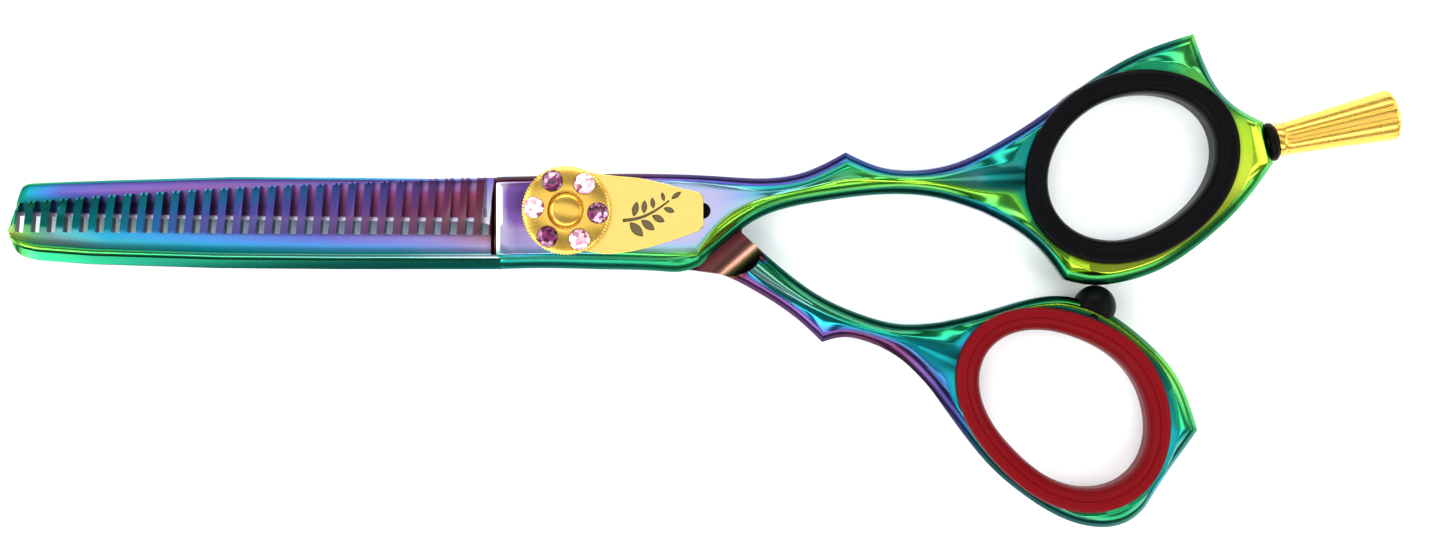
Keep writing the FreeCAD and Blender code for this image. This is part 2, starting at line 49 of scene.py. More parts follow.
def activate(*pieces):
    # Selects the pieces and makes the last one active
    bpy.ops.object.select_all(action="DESELECT")
    for piece in pieces:
        piece.select_set(True)
    bpy.context.view_layer.objects.active = pieces[-1]


def joinInto(target, *others):
    activate(*others, target)
    bpy.ops.object.join()
    return target


def editAll(piece):
    activate(piece)
    bpy.ops.object.mode_set(mode="EDIT")
    bpy.ops.mesh.select_mode(type="VERT")
    bpy.ops.mesh.select_all(action="SELECT")


def leaveEdit():
    bpy.ops.object.mode_set(mode="OBJECT")


def freshPiece(name):
    piece = bpy.context.object
    piece.name = name
    piece.data.name = name
    return piece


def settle(piece):
    activate(piece)
    bpy.ops.object.transform_apply(location=True, rotation=True, scale=True)


def addModifier(piece, kind, **settings):
    # Adds one modifier and applies it at once
    modifier = piece.modifiers.new(kind.lower(), kind)
    for key, value in settings.items():
        setattr(modifier, key, value)
    activate(piece)
    bpy.ops.object.modifier_apply(modifier=modifier.name)


def roundEdges(piece, width, segments, degrees):
    addModifier(piece, "BEVEL", width=width * mm, segments=segments, angle_limit=math.radians(degrees))


def cutWith(piece, cutter, operation="DIFFERENCE", materials="INDEX"):
    addModifier(piece, "BOOLEAN", operation=operation, solver="EXACT", object=cutter, material_mode=materials)
    bpy.data.objects.remove(cutter, do_unlink=True)


def smoothShade(piece, degrees):
    activate(piece)
    bpy.ops.object.shade_smooth_by_angle(angle=math.radians(degrees))


def placeMaterial(piece, material):
    piece.data.materials.clear()
    piece.data.materials.append(material)


def publish(piece, body, node, material=None):
    # Hands the finished piece to its CAD body in place of its CAD node
    if material:
        placeMaterial(piece, material)
    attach(piece, body)
    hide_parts(node)
    print("finished", piece.name, len(piece.data.polygons), "faces")


def smoothCurve(points, count):
    # Natural cubic through the points, sampled evenly along its length
    knots = np.array(points, float)
    gaps = np.hypot(*np.diff(knots, axis=0).T)
    n = len(knots)
    if n == 2:
        share = np.linspace(0, 1, count)[:, None]
        return knots[0] * (1 - share) + knots[1] * share
    system = np.zeros((n, n))
    right = np.zeros((n, 2))
    system[0, 0] = system[-1, -1] = 1
    for i in range(1, n - 1):
        before, after = gaps[i - 1], gaps[i]
        system[i, i - 1:i + 2] = before, 2 * (before + after), after
        right[i] = 6 * ((knots[i + 1] - knots[i]) / after - (knots[i] - knots[i - 1]) / before)
    bend = np.linalg.solve(system, right)
    fine = []
    for i, h in enumerate(gaps):
        u = np.linspace(0, h, 60, endpoint=i == n - 2)[:, None]
        straight = knots[i] * (h - u) / h + knots[i + 1] * u / h
        first, second = (h - u) ** 3 / h - h * (h - u), u ** 3 / h - h * u
        fine.append(straight + bend[i] / 6 * first + bend[i + 1] / 6 * second)
    fine = np.concatenate(fine)
    run = np.concatenate([[0], np.cumsum(np.hypot(*np.diff(fine, axis=0).T))])
    want = np.linspace(0, run[-1], count)
    return np.stack([np.interp(want, run, fine[:, 0]), np.interp(want, run, fine[:, 1])], 1)


def keyed(keys, x):
    # Smooth curve through (place, value) pairs without overshoot; colours are blended straight
    if not isinstance(keys, list):
        return keys
    places = np.array([k[0] for k in keys], float)
    values = np.array([k[1] for k in keys])
    x = min(max(x, places[0]), places[-1])
    i = int(min(max(np.searchsorted(places, x) - 1, 0), len(places) - 2))
    gap = places[i + 1] - places[i]
    t = (x - places[i]) / gap
    if values.ndim > 1 or np.iscomplexobj(values):
        return values[i] * (1 - t) + values[i + 1] * t
    slopes = np.diff(values) / np.diff(places)

    def tangent(k):
        if k == 0 or k == len(values) - 1 or slopes[k - 1] * slopes[k] <= 0:
            return 0.0
        return 2 * slopes[k - 1] * slopes[k] / (slopes[k - 1] + slopes[k])

    start, end = tangent(i) * gap, tangent(i + 1) * gap
    return (values[i] * (1 + 2 * t) * (1 - t) ** 2 + start * t * (1 - t) ** 2
            + values[i + 1] * t * t * (3 - 2 * t) + end * t * t * (t - 1))


def latticePiece(name, points, skipFaces=None):
    # A grid primitive whose rows and columns are moved to the given places
    rows, columns = points.shape[:2]
    bpy.ops.mesh.primitive_grid_add(x_subdivisions=columns - 1, y_subdivisions=rows - 1, size=1)
    piece = freshPiece(name)
    piece.data.vertices.foreach_set("co", (points * mm).astype(np.float32).ravel())
    if skipFaces is not None:
        activate(piece)
        for face in piece.data.polygons:
            low = min(face.vertices)
            face.select = bool(skipFaces[low // columns, low % columns])
        for part in (piece.data.edges, piece.data.vertices):
            part.foreach_set("select", [False] * len(part))
        bpy.ops.object.mode_set(mode="EDIT")
        bpy.ops.mesh.select_mode(type="FACE")
        bpy.ops.mesh.delete(type="ONLY_FACE")
        leaveEdit()
    return piece


def closeMesh(piece, fillEnds=False):
    # Welds the seams, fills the open ends if asked, and turns all faces outwards
    editAll(piece)
    bpy.ops.mesh.remove_doubles(threshold=weldDistance * mm)
    if fillEnds:
        bpy.ops.mesh.delete_loose(use_verts=True, use_edges=True, use_faces=False)
        bpy.ops.mesh.select_all(action="SELECT")
        bpy.ops.mesh.fill_holes(sides=0)
        bpy.ops.mesh.select_all(action="SELECT")
    bpy.ops.mesh.normals_make_consistent(inside=False)
    leaveEdit()


def closedLattice(name, points, wrapRows=True):
    if wrapRows:
        points = np.concatenate([points, points[:1]], 0)
    piece = latticePiece(name, np.concatenate([points, points[:, :1]], 1))
    closeMesh(piece)
    return piece


def turnedPiece(name, profile, count, reach=None):
    # Profile of (radius, height) turned about Z; reach(angle, row) scales the radius
    angles = np.linspace(0, 2 * math.pi, count, endpoint=False)
    rows = []
    for row, (radius, z) in enumerate(profile):
        scale = [reach(a, row) if reach else 1.0 for a in angles]
        rows.append([(radius * s * math.cos(a), radius * s * math.sin(a), z) for a, s in zip(angles, scale)])
    return closedLattice(name, np.array(rows), wrapRows=False)


def flatOutline(name, outline, low, high):
    # A filled circle's points moved to the outline, then extruded upwards
    bpy.ops.mesh.primitive_circle_add(vertices=len(outline), radius=1, fill_type="NGON")
    piece = freshPiece(name)
    for vertex, (x, y) in zip(piece.data.vertices, outline):
        vertex.co = Vector((x, y, low)) * mm
    editAll(piece)
    bpy.ops.mesh.extrude_region_move(TRANSFORM_OT_translate={"value": (0, 0, (high - low) * mm)})
    bpy.ops.mesh.select_all(action="SELECT")
    bpy.ops.mesh.normals_make_consistent(inside=False)
    leaveEdit()
    return piece


def cylinder(name, radius, low, high, place=(0, 0), vertices=96):
    # Upright, between two heights
    bpy.ops.mesh.primitive_cylinder_add(vertices=vertices, radius=radius * mm, depth=(high - low) * mm,
                                        location=Vector((*place, (high + low) / 2)) * mm)
    return freshPiece(name)


def onCircle(radius, angle):
    return radius * math.cos(angle), radius * math.sin(angle)


print("helpers ready")


def feed(material, node, inputs):
    # Each input gets a value, or a link from the output that drives it
    for key, value in inputs.items():
        if isinstance(value, bpy.types.NodeSocket):
            material.node_tree.links.new(value, node.inputs[key])
        else:
            node.inputs[key].default_value = value


def feedShader(material, inputs):
    feed(material, material.node_tree.nodes["Principled BSDF"], inputs)


def addNode(material, kind, inputs, **settings):
    node = material.node_tree.nodes.new("ShaderNode" + kind)
    for key, value in settings.items():
        setattr(node, key, value)
    feed(material, node, inputs)
    return node.outputs


def plainMaterial(name, colour, metallic, roughness, specular=0.5):
    material = bpy.data.materials.new(name)
    material.use_nodes = True
    feedShader(material, {"Base Color": (*colour, 1), "Metallic": metallic, "Roughness": roughness,
                          "Specular IOR Level": specular})
    return material


def objectNoise(material, scale, detail=4.0):
    # Noise in the piece's own coordinates, in cycles per metre
    place = addNode(material, "TexCoord", {})["Object"]
    return addNode(material, "TexNoise", {"Vector": place, "Scale": scale, "Detail": detail})["Fac"]


def colourRamp(material, value, stops):
    node = material.node_tree.nodes.new("ShaderNodeValToRGB")
    feed(material, node, {"Fac": value})
    elements = node.color_ramp.elements
    elements.remove(elements[1])
    for index, (place, colour) in enumerate(stops):
        element = elements[0] if index == 0 else elements.new(place)
        element.position = place
        element.color = (*colour, 1)
    return node.outputs["Color"]


def grainyMaterial(name, colour, metallic, low, high, patches, grain, strength, specular=0.5):
    # Roughness drifts from low to high in patches, and a fine grain roughens the surface
    material = plainMaterial(name, colour, metallic, low, specular)
    drift = objectNoise(material, patches)
    drift = addNode(material, "MapRange", {"Value": drift, "To Min": low, "To Max": high})
    bump = addNode(material, "Bump", {"Height": objectNoise(material, grain), "Strength": strength,
                                      "Distance": 0.0001})
    feedShader(material, {"Roughness": drift["Result"], "Normal": bump["Normal"]})
    return material


def goldMaterial(name, colour, low, high):
    return grainyMaterial(name, colour, 1.0, low, high, 900, 4000, 0.01)


def rubberMaterial(name, colour):
    return grainyMaterial(name, colour, 0.0, 0.32, 0.44, 700, 9000, 0.15, 0.06)


def crystalMaterial(name, colours):
    # Painted reflections: cells from dark to near white stand for the back facets seen through the stone
    material = plainMaterial(name, colours[1], 0.35, 0.06)
    place = addNode(material, "TexCoord", {})["Object"]
    cells = addNode(material, "TexVoronoi", {"Vector": place, "Scale": 1900.0})["Color"]
    colour = colourRamp(material, cells, zip((0.15, 0.45, 0.72, 0.95), colours))
    feedShader(material, {"Base Color": colour, "Coat Weight": 1.0})
    return material


# Interference colours from thin film to thick, as places on a ramp
filmColours = [
    (0.00, (0.60, 0.36, 0.26)),
    (0.10, (0.55, 0.24, 0.17)),
    (0.18, (0.24, 0.05, 0.06)),
    (0.26, (0.27, 0.06, 0.15)),
    (0.36, (0.20, 0.10, 0.40)),
    (0.46, (0.12, 0.13, 0.56)),
    (0.54, (0.05, 0.28, 0.70)),
    (0.62, (0.01, 0.44, 0.50)),
    (0.70, (0.01, 0.23, 0.19)),
    (0.78, (0.02, 0.34, 0.12)),
    (0.87, (0.12, 0.50, 0.05)),
    (0.95, (0.44, 0.66, 0.03)),
    (1.00, (0.72, 0.74, 0.08)),
]
# Colours of the painted highlight and the painted shade
paintedHighlightColour = (0.68, 0.66, 0.77)
paintedShadeColour = (0.004, 0.004, 0.006)
filmDrift = 0.025


def filmMaterial(name, roughness):
    # The piece's "film" attribute gives the colour, and the second attribute paints light on it: over 0 a
    # silver painted highlight, under 0 dark painted shade
    material = plainMaterial(name, paintedHighlightColour, 1.0, roughness)
    film, paintedLightShade = (addNode(material, "Attribute", {}, attribute_name=key)["Fac"] for key in ("film", "paintedLightShade"))
    drift = addNode(material, "MapRange", {"Value": objectNoise(material, 60, 2.0), "To Min": -filmDrift,
                                           "To Max": filmDrift})["Result"]
    colour = colourRamp(material, addNode(material, "Math", {0: film, 1: drift})[0], filmColours)
    for other, sign in ((paintedHighlightColour, 1.0), (paintedShadeColour, -1.0)):
        share = addNode(material, "Math", {0: paintedLightShade, 1: sign}, operation="MULTIPLY", use_clamp=True)[0]
        colour = addNode(material, "MixRGB", {"Fac": share, "Color1": colour, "Color2": (*other, 1)})["Color"]
    feedShader(material, {"Base Color": colour})
    return material


def paintFilm(piece, places, values):
    # Each vertex takes film (real part) and painted light and shade (imaginary part) from the three nearest
    # lattice places
    tree = kdtree.KDTree(len(places))
    for index, place in enumerate(places):
        tree.insert(Vector(place) * mm, index)
    tree.balance()
    film, paintedLightShade = (piece.data.attributes.new(key, "FLOAT", "POINT") for key in ("film", "paintedLightShade"))
    for vertex in piece.data.vertices:
        near = tree.find_n(vertex.co, 3)
        weights = [1 / (n[2] + 0.00002) for n in near]
        value = complex(sum(values[n[1]] * w for n, w in zip(near, weights)) / sum(weights))
        film.data[vertex.index].value = value.real
        paintedLightShade.data[vertex.index].value = value.imag


print("material tools ready")

fingerSide = {
    "roundedStart": -8.2,
    "upper": [
        [(-8.6, 4.13), (-3.4, 4.25), (3.9, 4.47), (11.2, 4.49), (18.5, 4.2), (23.3, 3.98), (28.2, 4.6),
         (33.64, 7.16)],
        [(33.64, 7.16), (37.9, 5.34), (42.0, 4.95), (47.6, 6.07), (50.4, 7.35)],
    ],
    "ring": [
        [(50.4, 7.35), (54.9, 9.96), (62.2, 15.06), (69.5, 19.31), (75.89, 21.55)],
        [(75.89, 21.55), (77.35, 17.61), (79.17, 14.45), (81.6, 12.26), (84.27, 10.81)],
        [(84.27, 10.81), (85.49, 5.83)],
        [(85.49, 5.83), (84.27, 4.01), (81.6, 0.61), (76.74, -3.89), (71.89, -7.04), (67.03, -8.62),
         (63.5, -8.95), (60.2, -8.3)],
        [(60.2, -8.3), (57.32, -4.61), (53.6, -1.75), (50.2, 0.0)],
    ],
    "lower": [
        [(-8.6, -7.04), (-3.4, -6.9), (3.9, -7.05), (11.2, -7.28), (13.9, -7.3), (15.91, -6.62)],
        [(15.91, -6.62), (18.58, -4.18), (23.31, -0.73), (30.6, 1.21), (37.89, 2.06), (45.17, 1.58),
         (50.2, 0.0)],
    ],
    "midLine": [(-8.6, -0.9), (8.0, -0.7), (14.8, -0.5), (20.0, 0.95), (25.4, 2.1), (30.0, 3.1),
                (34.2, 4.0), (38.0, 3.85), (42.5, 3.68), (46.2, 3.75), (50.0, 3.95)],
    "ringMiddle": (67.95, 5.4),
    "ringHalves": (11.7, 9.4),
    "ringTilt": 29.0,
    "ringEgg": (0.012, 0.012, 10.0),
    "joinAngle": 185.9,
    "stops": [-8.6, 14.8, 25.4, 34.2, 56.8],
    "counts": [30, 22, 18, 40],
    "easing": 10,
    # mid-line X paired with outline X, above and below
    "pairUpper": [(-8.6, -8.6), (25.4, 25.0), (34.2, 33.64), (42.5, 42.3), (56.77, 50.4)],
    "pairLower": [(-8.6, -8.6), (14.8, 15.91), (20.0, 18.6), (25.4, 24.0), (34.2, 34.0), (42.5, 42.3),
                  (56.77, 50.2)],
    # Profile tables: place along the neck's mid-line, or angle round the hole. A film row holds the strip's
    # outer and inner edge, the face's outer and inner edge, and the band beside the mid-line or hole;
    # imaginary parts are painted highlight above 0 and painted shade below 0, and the collar value is painted
    # shade on the band beside the hole
    "neckUpper": {
        "strip": [(-8.6, 0.7), (11, 0.75), (20, 0.95), (28, 1.0), (34.2, 1.0), (42, 0.85), (50, 0.95),
                  (56.8, 1.0)],
        "ridge": [(-8.6, 4.15), (8, 4.1), (14.8, 3.9), (17, 3.2), (20, 1.9), (23, 0.7), (25.4, 0.2),
                  (29, 0.2), (32.3, 0.7), (34.2, 1.2), (35.8, 0.6), (38.5, 0.15), (42.5, 0.12),
                  (56.8, 3.5)],
        "zWall": [(-8.6, 5.0), (14.8, 4.9), (25, 4.2), (56.8, 4.1)],
        "zStrip": [(-8.6, 5.8), (14.8, 5.6), (25, 5.0)],
        "zRidge": [(18, 6.0), (26, 5.75), (34, 5.75), (42, 5.85), (56.8, 5.75)],
        "zInner": [(-8.6, 6.0), (18, 5.98), (26, 5.65), (38, 5.65), (42, 5.82), (56.8, 5.35)],
        "bulge": [(-8.6, 0.0), (20, 0.08), (30, 0.12), (42, 0.1), (56.8, 0.06)],
        "collar": [(50, 0), (54, 0.5), (56.8, 0.7)],
        "film": [(-8.6, (0.22-0.5j, 0.26-0.3j, 0.30+0.8j, 0.34+0.9j, 0.38+0.95j)),
                 (-7.9, (0.22-0.5j, 0.26-0.3j, 0.30+0.8j, 0.34+0.7j, 0.37+0.45j)),
                 # Left of the dial, painted shadow on the band beside the mid-line
                 (-7.0, (0.22-0.5j, 0.26-0.3j, 0.30+0.6j, 0.34+0.2j, 0.36-0.35j)),
                 (-5.0, (0.22-0.5j, 0.26-0.3j, 0.30+0.3j, 0.36-0.2j, 0.37-0.75j)),
                 (6, (0.26-0.4j, 0.30-0.2j, 0.36+0.4j, 0.46+0.7j, 0.42+0.8j)),
                 (13, (0.34-0.4j, 0.40-0.2j, 0.54+0.1j, 0.60+0.6j, 0.40+0.75j)),
                 (18, (0.36-0.4j, 0.46-0.2j, 0.62+0.1j, 0.61+0.5j, 0.44+0.6j)),
                 (24, (0.36-0.3j, 0.44-0.3j, 0.66-0.3j, 0.64+0.2j, 0.62+0.1j)),
                 (33, (0.38-0.3j, 0.48-0.4j, 0.72-0.2j, 0.76, 0.78+0.1j)),
                 (35, (0.46-0.3j, 0.62-0.3j, 0.74, 0.80, 0.80)),
                 (42, (0.44-0.4j, 0.62-0.3j, 0.74-0.2j, 0.84, 0.88)),
                 (50, (0.38-0.3j, 0.54-0.4j, 0.70-0.2j, 0.68, 0.68+0.1j)),
                 (56.8, (0.40-0.3j, 0.60-0.3j, 0.72, 0.70, 0.69+0.05j))],
    },
    "neckLower": {
        "strip": [(11, 1.2), (14.8, 1.1), (20, 0.8), (30, 0.8), (42, 0.85), (56.8, 1.0)],
        "ridge": [(-8.6, 4.3), (8, 4.4), (13, 4.5), (14.8, 4.75), (16, 3.9), (18.3, 2.2), (20.7, 1.0),
                  (23, 0.4), (25.4, 0.14), (42.5, 0.12), (56.8, 3.9)],
        "zWall": [(-8.6, 4.3), (14.8, 4.2), (25, 4.0), (56.8, 4.1)],
        "zStrip": [(-8.6, 5.2), (14.8, 5.1), (20, 4.9), (42, 4.9), (56.8, 5.0)],
        "zRidge": [(-8.6, 5.96), (18, 5.9), (26, 5.7), (34, 5.7), (42, 5.85), (56.8, 5.75)],
        "zInner": [(-8.6, 6.0), (18, 5.98), (26, 5.65), (38, 5.65), (42, 5.82), (56.8, 5.35)],
        "bulge": [(-8.6, 0.12), (12, 0.14), (15, 0.35), (20, 0.45), (30, 0.5), (42, 0.4), (50, 0.25),
                  (56.8, 0.08)],
        "collar": [(50, 0), (54, 0.5), (56.8, 0.7)],
        "film": [(-8.6, (0.69-0.1j, 0.71+0.1j, 0.76-0.8j, 0.80+0.2j, 0.38+0.98j)),
                 (-7.9, (0.69-0.1j, 0.71+0.1j, 0.76-0.8j, 0.60+0.5j, 0.37+0.7j)),
                 (-6.6, (0.69-0.1j, 0.71+0.1j, 0.76-0.8j, 0.50+0.6j, 0.34+0.2j)),
                 (6, (0.71-0.1j, 0.74+0.1j, 0.76-0.7j, 0.80+0.1j, 0.40+0.9j)),
                 (13, (0.75-0.1j, 0.78, 0.77-0.6j, 0.86+0.1j, 0.42+0.7j)),
                 (16, (0.76-0.1j, 0.79, 0.86, 0.94, 0.40+0.7j)),
                 (20, (0.74-0.2j, 0.78, 0.85, 0.94, 0.56+0.6j)),
                 (25, (0.70, 0.76-0.2j, 0.82, 0.88, 0.74+0.2j)),
                 (42, (0.69-0.2j, 0.76-0.3j, 0.84, 0.93, 0.90)),
                 (50, (0.60-0.4j, 0.74-0.3j, 0.86, 0.90, 0.68+0.1j)),
                 (56.8, (0.52-0.4j, 0.66-0.3j, 0.82, 0.88, 0.69+0.05j))],
    },
    "around": {
        "strip": [(-174.1, 1.0), (-150, 0.95), (-137, 0.85), (-121, 1.0), (-110, 1.2), (-60, 1.25),
                  (-6, 1.2), (1.5, 0.8), (20, 0.7), (40, 0.8), (50, 0.9), (63.6, 1.1), (94, 1.0),
                  (107, 0.85), (121, 0.6), (136, 0.62), (150, 0.95), (185.9, 1.0)],
        "ridge": [(-174.1, 3.9), (-165, 3.2), (-150, 2.6), (-137, 2.4), (-121, 2.6), (-110, 2.9),
                  (-60, 3.2), (0, 3.3), (18, 3.3), (40, 2.6), (63.6, 3.0), (94, 2.6), (136, 2.3),
                  (155, 2.5), (170, 2.9), (185.9, 3.5)],
        "zWall": [(-6, 4.1), (3, 4.3), (18, 4.3), (30, 4.1)],
        "zStrip": [(-6, 5.0), (3, 5.2), (18, 5.2), (30, 5.0)],
        "zRidge": 5.75,
        "zInner": [(-174.1, 5.35), (-165, 5.3), (170, 5.3), (185.9, 5.35)],
        "bulge": [(-174.1, 0.1), (-121, 0.08), (-60, 0.08), (20, 0.06), (63.6, -0.12), (90, -0.04),
                  (185.9, 0.06)],
        "collar": 0.7,
        "film": [(-174.1, (0.52-0.4j, 0.66-0.3j, 0.82, 0.88, 0.69+0.05j)),
                 (-140, (0.62-0.4j, 0.72-0.4j, 0.82, 0.88, 0.74-0.5j)),
                 (-121, (0.72-0.2j, 0.80-0.1j, 0.90, 0.94, 0.93)),
                 (-100, (0.76-0.2j, 0.84-0.1j, 0.93, 0.97, 0.98)),
                 (-40, (0.76-0.1j, 0.86-0.1j, 0.92, 0.98, 0.99)),
                 (0, (0.80, 0.88, 0.94, 0.97, 0.97)), (18, (0.84, 0.88, 0.93, 0.93, 0.94)),
                 (36, (0.72, 0.76, 0.82, 0.84, 0.87)), (55, (0.73, 0.78, 0.84, 0.84, 0.86)),
                 (63.6, (0.84, 0.86, 0.84, 0.82, 0.80)), (72, (0.72-0.2j, 0.73-0.2j, 0.78, 0.77, 0.76)),
                 (94, (0.70-0.3j, 0.72-0.3j, 0.77, 0.77, 0.78)),
                 (121, (0.60-0.5j, 0.64-0.4j, 0.74-0.2j, 0.74, 0.70-0.3j)),
                 (150, (0.40-0.4j, 0.54-0.4j, 0.72-0.3j, 0.74, 0.66-0.4j)),
                 (185.9, (0.40-0.3j, 0.60-0.3j, 0.72, 0.70, 0.69+0.05j))],
    },
}


def eggScale(egg, angle):
    # Swells an oval by one share on one side, and by another at three places round it
    turn = math.radians(angle - egg[2])
    return 1 + egg[0] * math.cos(turn) + egg[1] * math.cos(3 * turn)


def holePoint(side, angle):
    # On the egg-shaped edge of the ring's hole, in the given direction from its middle
    long, short = side["ringHalves"]
    f = math.radians(angle - side["ringTilt"])
    reach = long * short / math.hypot(short * math.cos(f), long * math.sin(f))
    reach *= eggScale(side["ringEgg"], angle)
    return np.array(side["ringMiddle"]) + onCircle(reach, math.radians(angle))


def outlineAt(stretches, x):
    # Point on a neck outline at the given X, and its directions: a corner has two
    found = []
    for stretch in stretches:
        fine = smoothCurve(stretch, 400)
        if fine[0, 0] - 1e-6 <= x <= fine[-1, 0] + 1e-6:
            i = int(np.clip(np.searchsorted(fine[:, 0], x), 1, 399))
            t = (x - fine[i - 1, 0]) / (fine[i, 0] - fine[i - 1, 0])
            along = fine[i] - fine[i - 1]
            found.append((fine[i - 1] * (1 - t) + fine[i] * t, along / np.hypot(*along)))
    return found[0][0], [f[1] for f in found]


def joinedNormal(tangents, sign):
    # At a corner, the mitre of both sides' normals
    normals = [np.array([t[1], -t[0]]) * sign for t in tangents]
    total = normals[0] + normals[-1]
    total /= np.hypot(*total)
    return total / total.dot(normals[0])


def tableRow(table, at):
    return {key: keyed(keys, at) for key, keys in table.items()}


def neckRows(side, arm, join):
    # Pairs each place on one outline of the neck with a place on its mid-line
    spine = smoothCurve(side["midLine"] + [tuple(join)], 900)
    stops = side["stops"][:-1] + [join[0]]
    xs = [x for start, end, count in zip(stops, stops[1:], side["counts"])
          for x in np.linspace(start, end, count, endpoint=False)]
    rows = []
    for x in xs + [join[0]]:
        inner = np.array([x, np.interp(x, spine[:, 0], spine[:, 1])]) if x < join[0] else join
        outer, tangents = outlineAt(side[arm.lower()], np.interp(x, *zip(*side["pair" + arm])))
        normal = joinedNormal(tangents, 1 if arm == "Upper" else -1)
        rows.append((outer, inner, normal, tableRow(side["neck" + arm], x), False))
    return rows


def ringPlaces(side):
    # Places round the ring's outline with their directions, under a third of a millimetre apart
    places = []
    for index, stretch in enumerate(side["ring"]):
        length = np.hypot(*np.diff(smoothCurve(stretch, 200), axis=0).T).sum()
        fine = smoothCurve(stretch, max(6, int(length / 0.32)))
        tangents = np.gradient(fine, axis=0)
        tangents /= np.hypot(*tangents.T)[:, None]
        corner = [previous] if index else []
        places.append((fine[0], corner + [tangents[0]]))
        places += [(point, [tangent]) for point, tangent in zip(fine[1:-1], tangents[1:-1])]
        previous = tangents[-1]
    return places + [(fine[-1], [previous])]


def handleRows(side):
    # Upper neck, round the ring, and back along the lower neck
    join = holePoint(side, side["joinAngle"])
    rows = neckRows(side, "Upper", join)
    places = ringPlaces(side)
    offsets = np.array([point for point, _ in places]) - side["ringMiddle"]
    angles = np.degrees(np.unwrap(np.arctan2(offsets[:, 1], offsets[:, 0])))
    if angles[0] < side["joinAngle"] - 180:
        angles += 360
    # The first and last rows meet the necks at the join, and the turn fades out over this angle
    spread = 45
    lead = side["joinAngle"] - angles[0]
    trail = side["joinAngle"] - 360 - angles[-1]
    for (outer, tangents), angle in zip(places[1:-1], angles[1:-1]):
        turn = angle + lead * max(0, 1 - (angles[0] - angle) / spread) ** 2
        turn += trail * max(0, 1 - (angle - angles[-1]) / spread) ** 2
        row = tableRow(side["around"], turn)
        rows.append((outer, holePoint(side, turn), joinedNormal(tangents, 1), row, True))
    return rows + neckRows(side, "Lower", join)[::-1]


handleSection = {
    "stripBulge": 0.14,
    # painted shade on the wall and strip, less where the film is yellow
    "paintedShade": 0.42,
    "paintedYellowShade": 0.1,
    "yellowFrom": 0.78,
    "guard": 0.05,
}


def profile(width, row, scale):
    # Distance from the outline, height and film across one row's upper side: wall, strip, face, inner band
    strip = min(row["strip"] * scale, width * 0.6)
    ridge = min(row["ridge"], width - strip - 0.12)
    crest = width - ridge
    span = crest - strip
    film = row["film"]
    values = handleSection
    # The wall and strip get painted shade
    paintedWallShade = 1j * values["paintedShade" if film[0].real < values["yellowFrom"] else "paintedYellowShade"]
    out = [(0, middleHeight, film[0] - paintedWallShade), (0, row["zWall"], film[0] - paintedWallShade)]
    for t in (0.15, 0.35, 0.6, 0.85, 1 - min(0.1, 0.04 / strip)):
        z = row["zWall"] + (row["zStrip"] - row["zWall"]) * t + values["stripBulge"] * 4 * t * (1 - t)
        out.append((strip * t, z, film[0] + (film[1] - film[0]) * t - paintedWallShade))
    guard = min(values["guard"], span * 0.08) / span
    for t in (guard, 0.12, 0.28, 0.45, 0.62, 0.78, 0.9, 1 - guard):
        z = row["zStrip"] + (row["zRidge"] - row["zStrip"]) * t + row["bulge"] * 4 * t * (1 - t)
        out.append((strip + span * t, z, film[2] + (film[3] - film[2]) * t))
    guard = min(values["guard"], ridge * 0.2) / ridge
    for t in (guard, 0.3, 0.65, 1.0):
        z = row["zRidge"] + (row["zInner"] - row["zRidge"]) * t
        # The band beside the hole gets painted shade by the collar amount
        paintedShade = row["collar"] * 1j if t > 0.6 else 0
        out.append((crest + ridge * t, z, film[4] + (film[3] - film[4]) * (1 - t) ** 6 - paintedShade))
    out.append((width, middleHeight, film[4]))
    return out


def handlePiece(name, side):
    rows = handleRows(side)
    points, values = [], []
    corners = np.array([normal.dot(normal) > 1.02 for _, _, normal, _, _ in rows])
    for (outer, inner, normal, row, isRing), corner in zip(rows, corners):
        line = inner - outer
        width = np.hypot(*line)
        line = line / width
        # A strip keeps its breadth where the row crosses it at a slant
        scale = 1 / max(0.3, line.dot(normal) / normal.dot(normal))
        if isRing or not corner:
            scale = min(2.5, scale)
        top = profile(width, row, scale)
        full = top + [(d, 2 * middleHeight - z, f) for d, z, f in top[-2::-1]]
        points.append([(outer[0] + line[0] * d, outer[1] + line[1] * d, z) for d, z, f in full])
        values.append([f for d, z, f in full])
    points = np.array(points)
    columns = points.shape[1]
    # Eases the face and inner band along the outline, between its corners
    inside = np.zeros(columns, bool)
    inside[7:18] = inside[-18:-7] = True
    free = np.outer(~corners, inside)
    free[[0, -1]] = False
    for _ in range(side["easing"]):
        eased = points.copy()
        eased[1:-1] = (points[:-2] + 2 * points[1:-1] + points[2:]) / 4
        points[free] = eased[free]
    if "roundedStart" in side:
        depth = np.clip((side["roundedStart"] - points[:, :, 0]) / 0.4, 0, 1)
        points[:, :, 2] -= np.where(points[:, :, 2] > middleHeight + 1, 0.35 * depth ** 2, 0)
    # No wall between the neck's two arms
    wall = (columns - 1) // 2
    skip = np.zeros((len(rows), columns), bool)
    ringRows = np.array([row[4] for row in rows])
    skip[:-1, wall - 1:wall + 1] = ~(ringRows[:-1] | ringRows[1:])[:, None]
    piece = latticePiece(name, points, skip)
    closeMesh(piece, fillEnds=True)
    return piece, points.reshape(-1, 3), np.array(values).ravel()


print("handle tools ready")


def shareAlong(blade, x):
    # 0 at the blade's tip and 1 at its heel
    return (x - blade["tipX"]) / (blade["heelX"] - blade["tipX"])


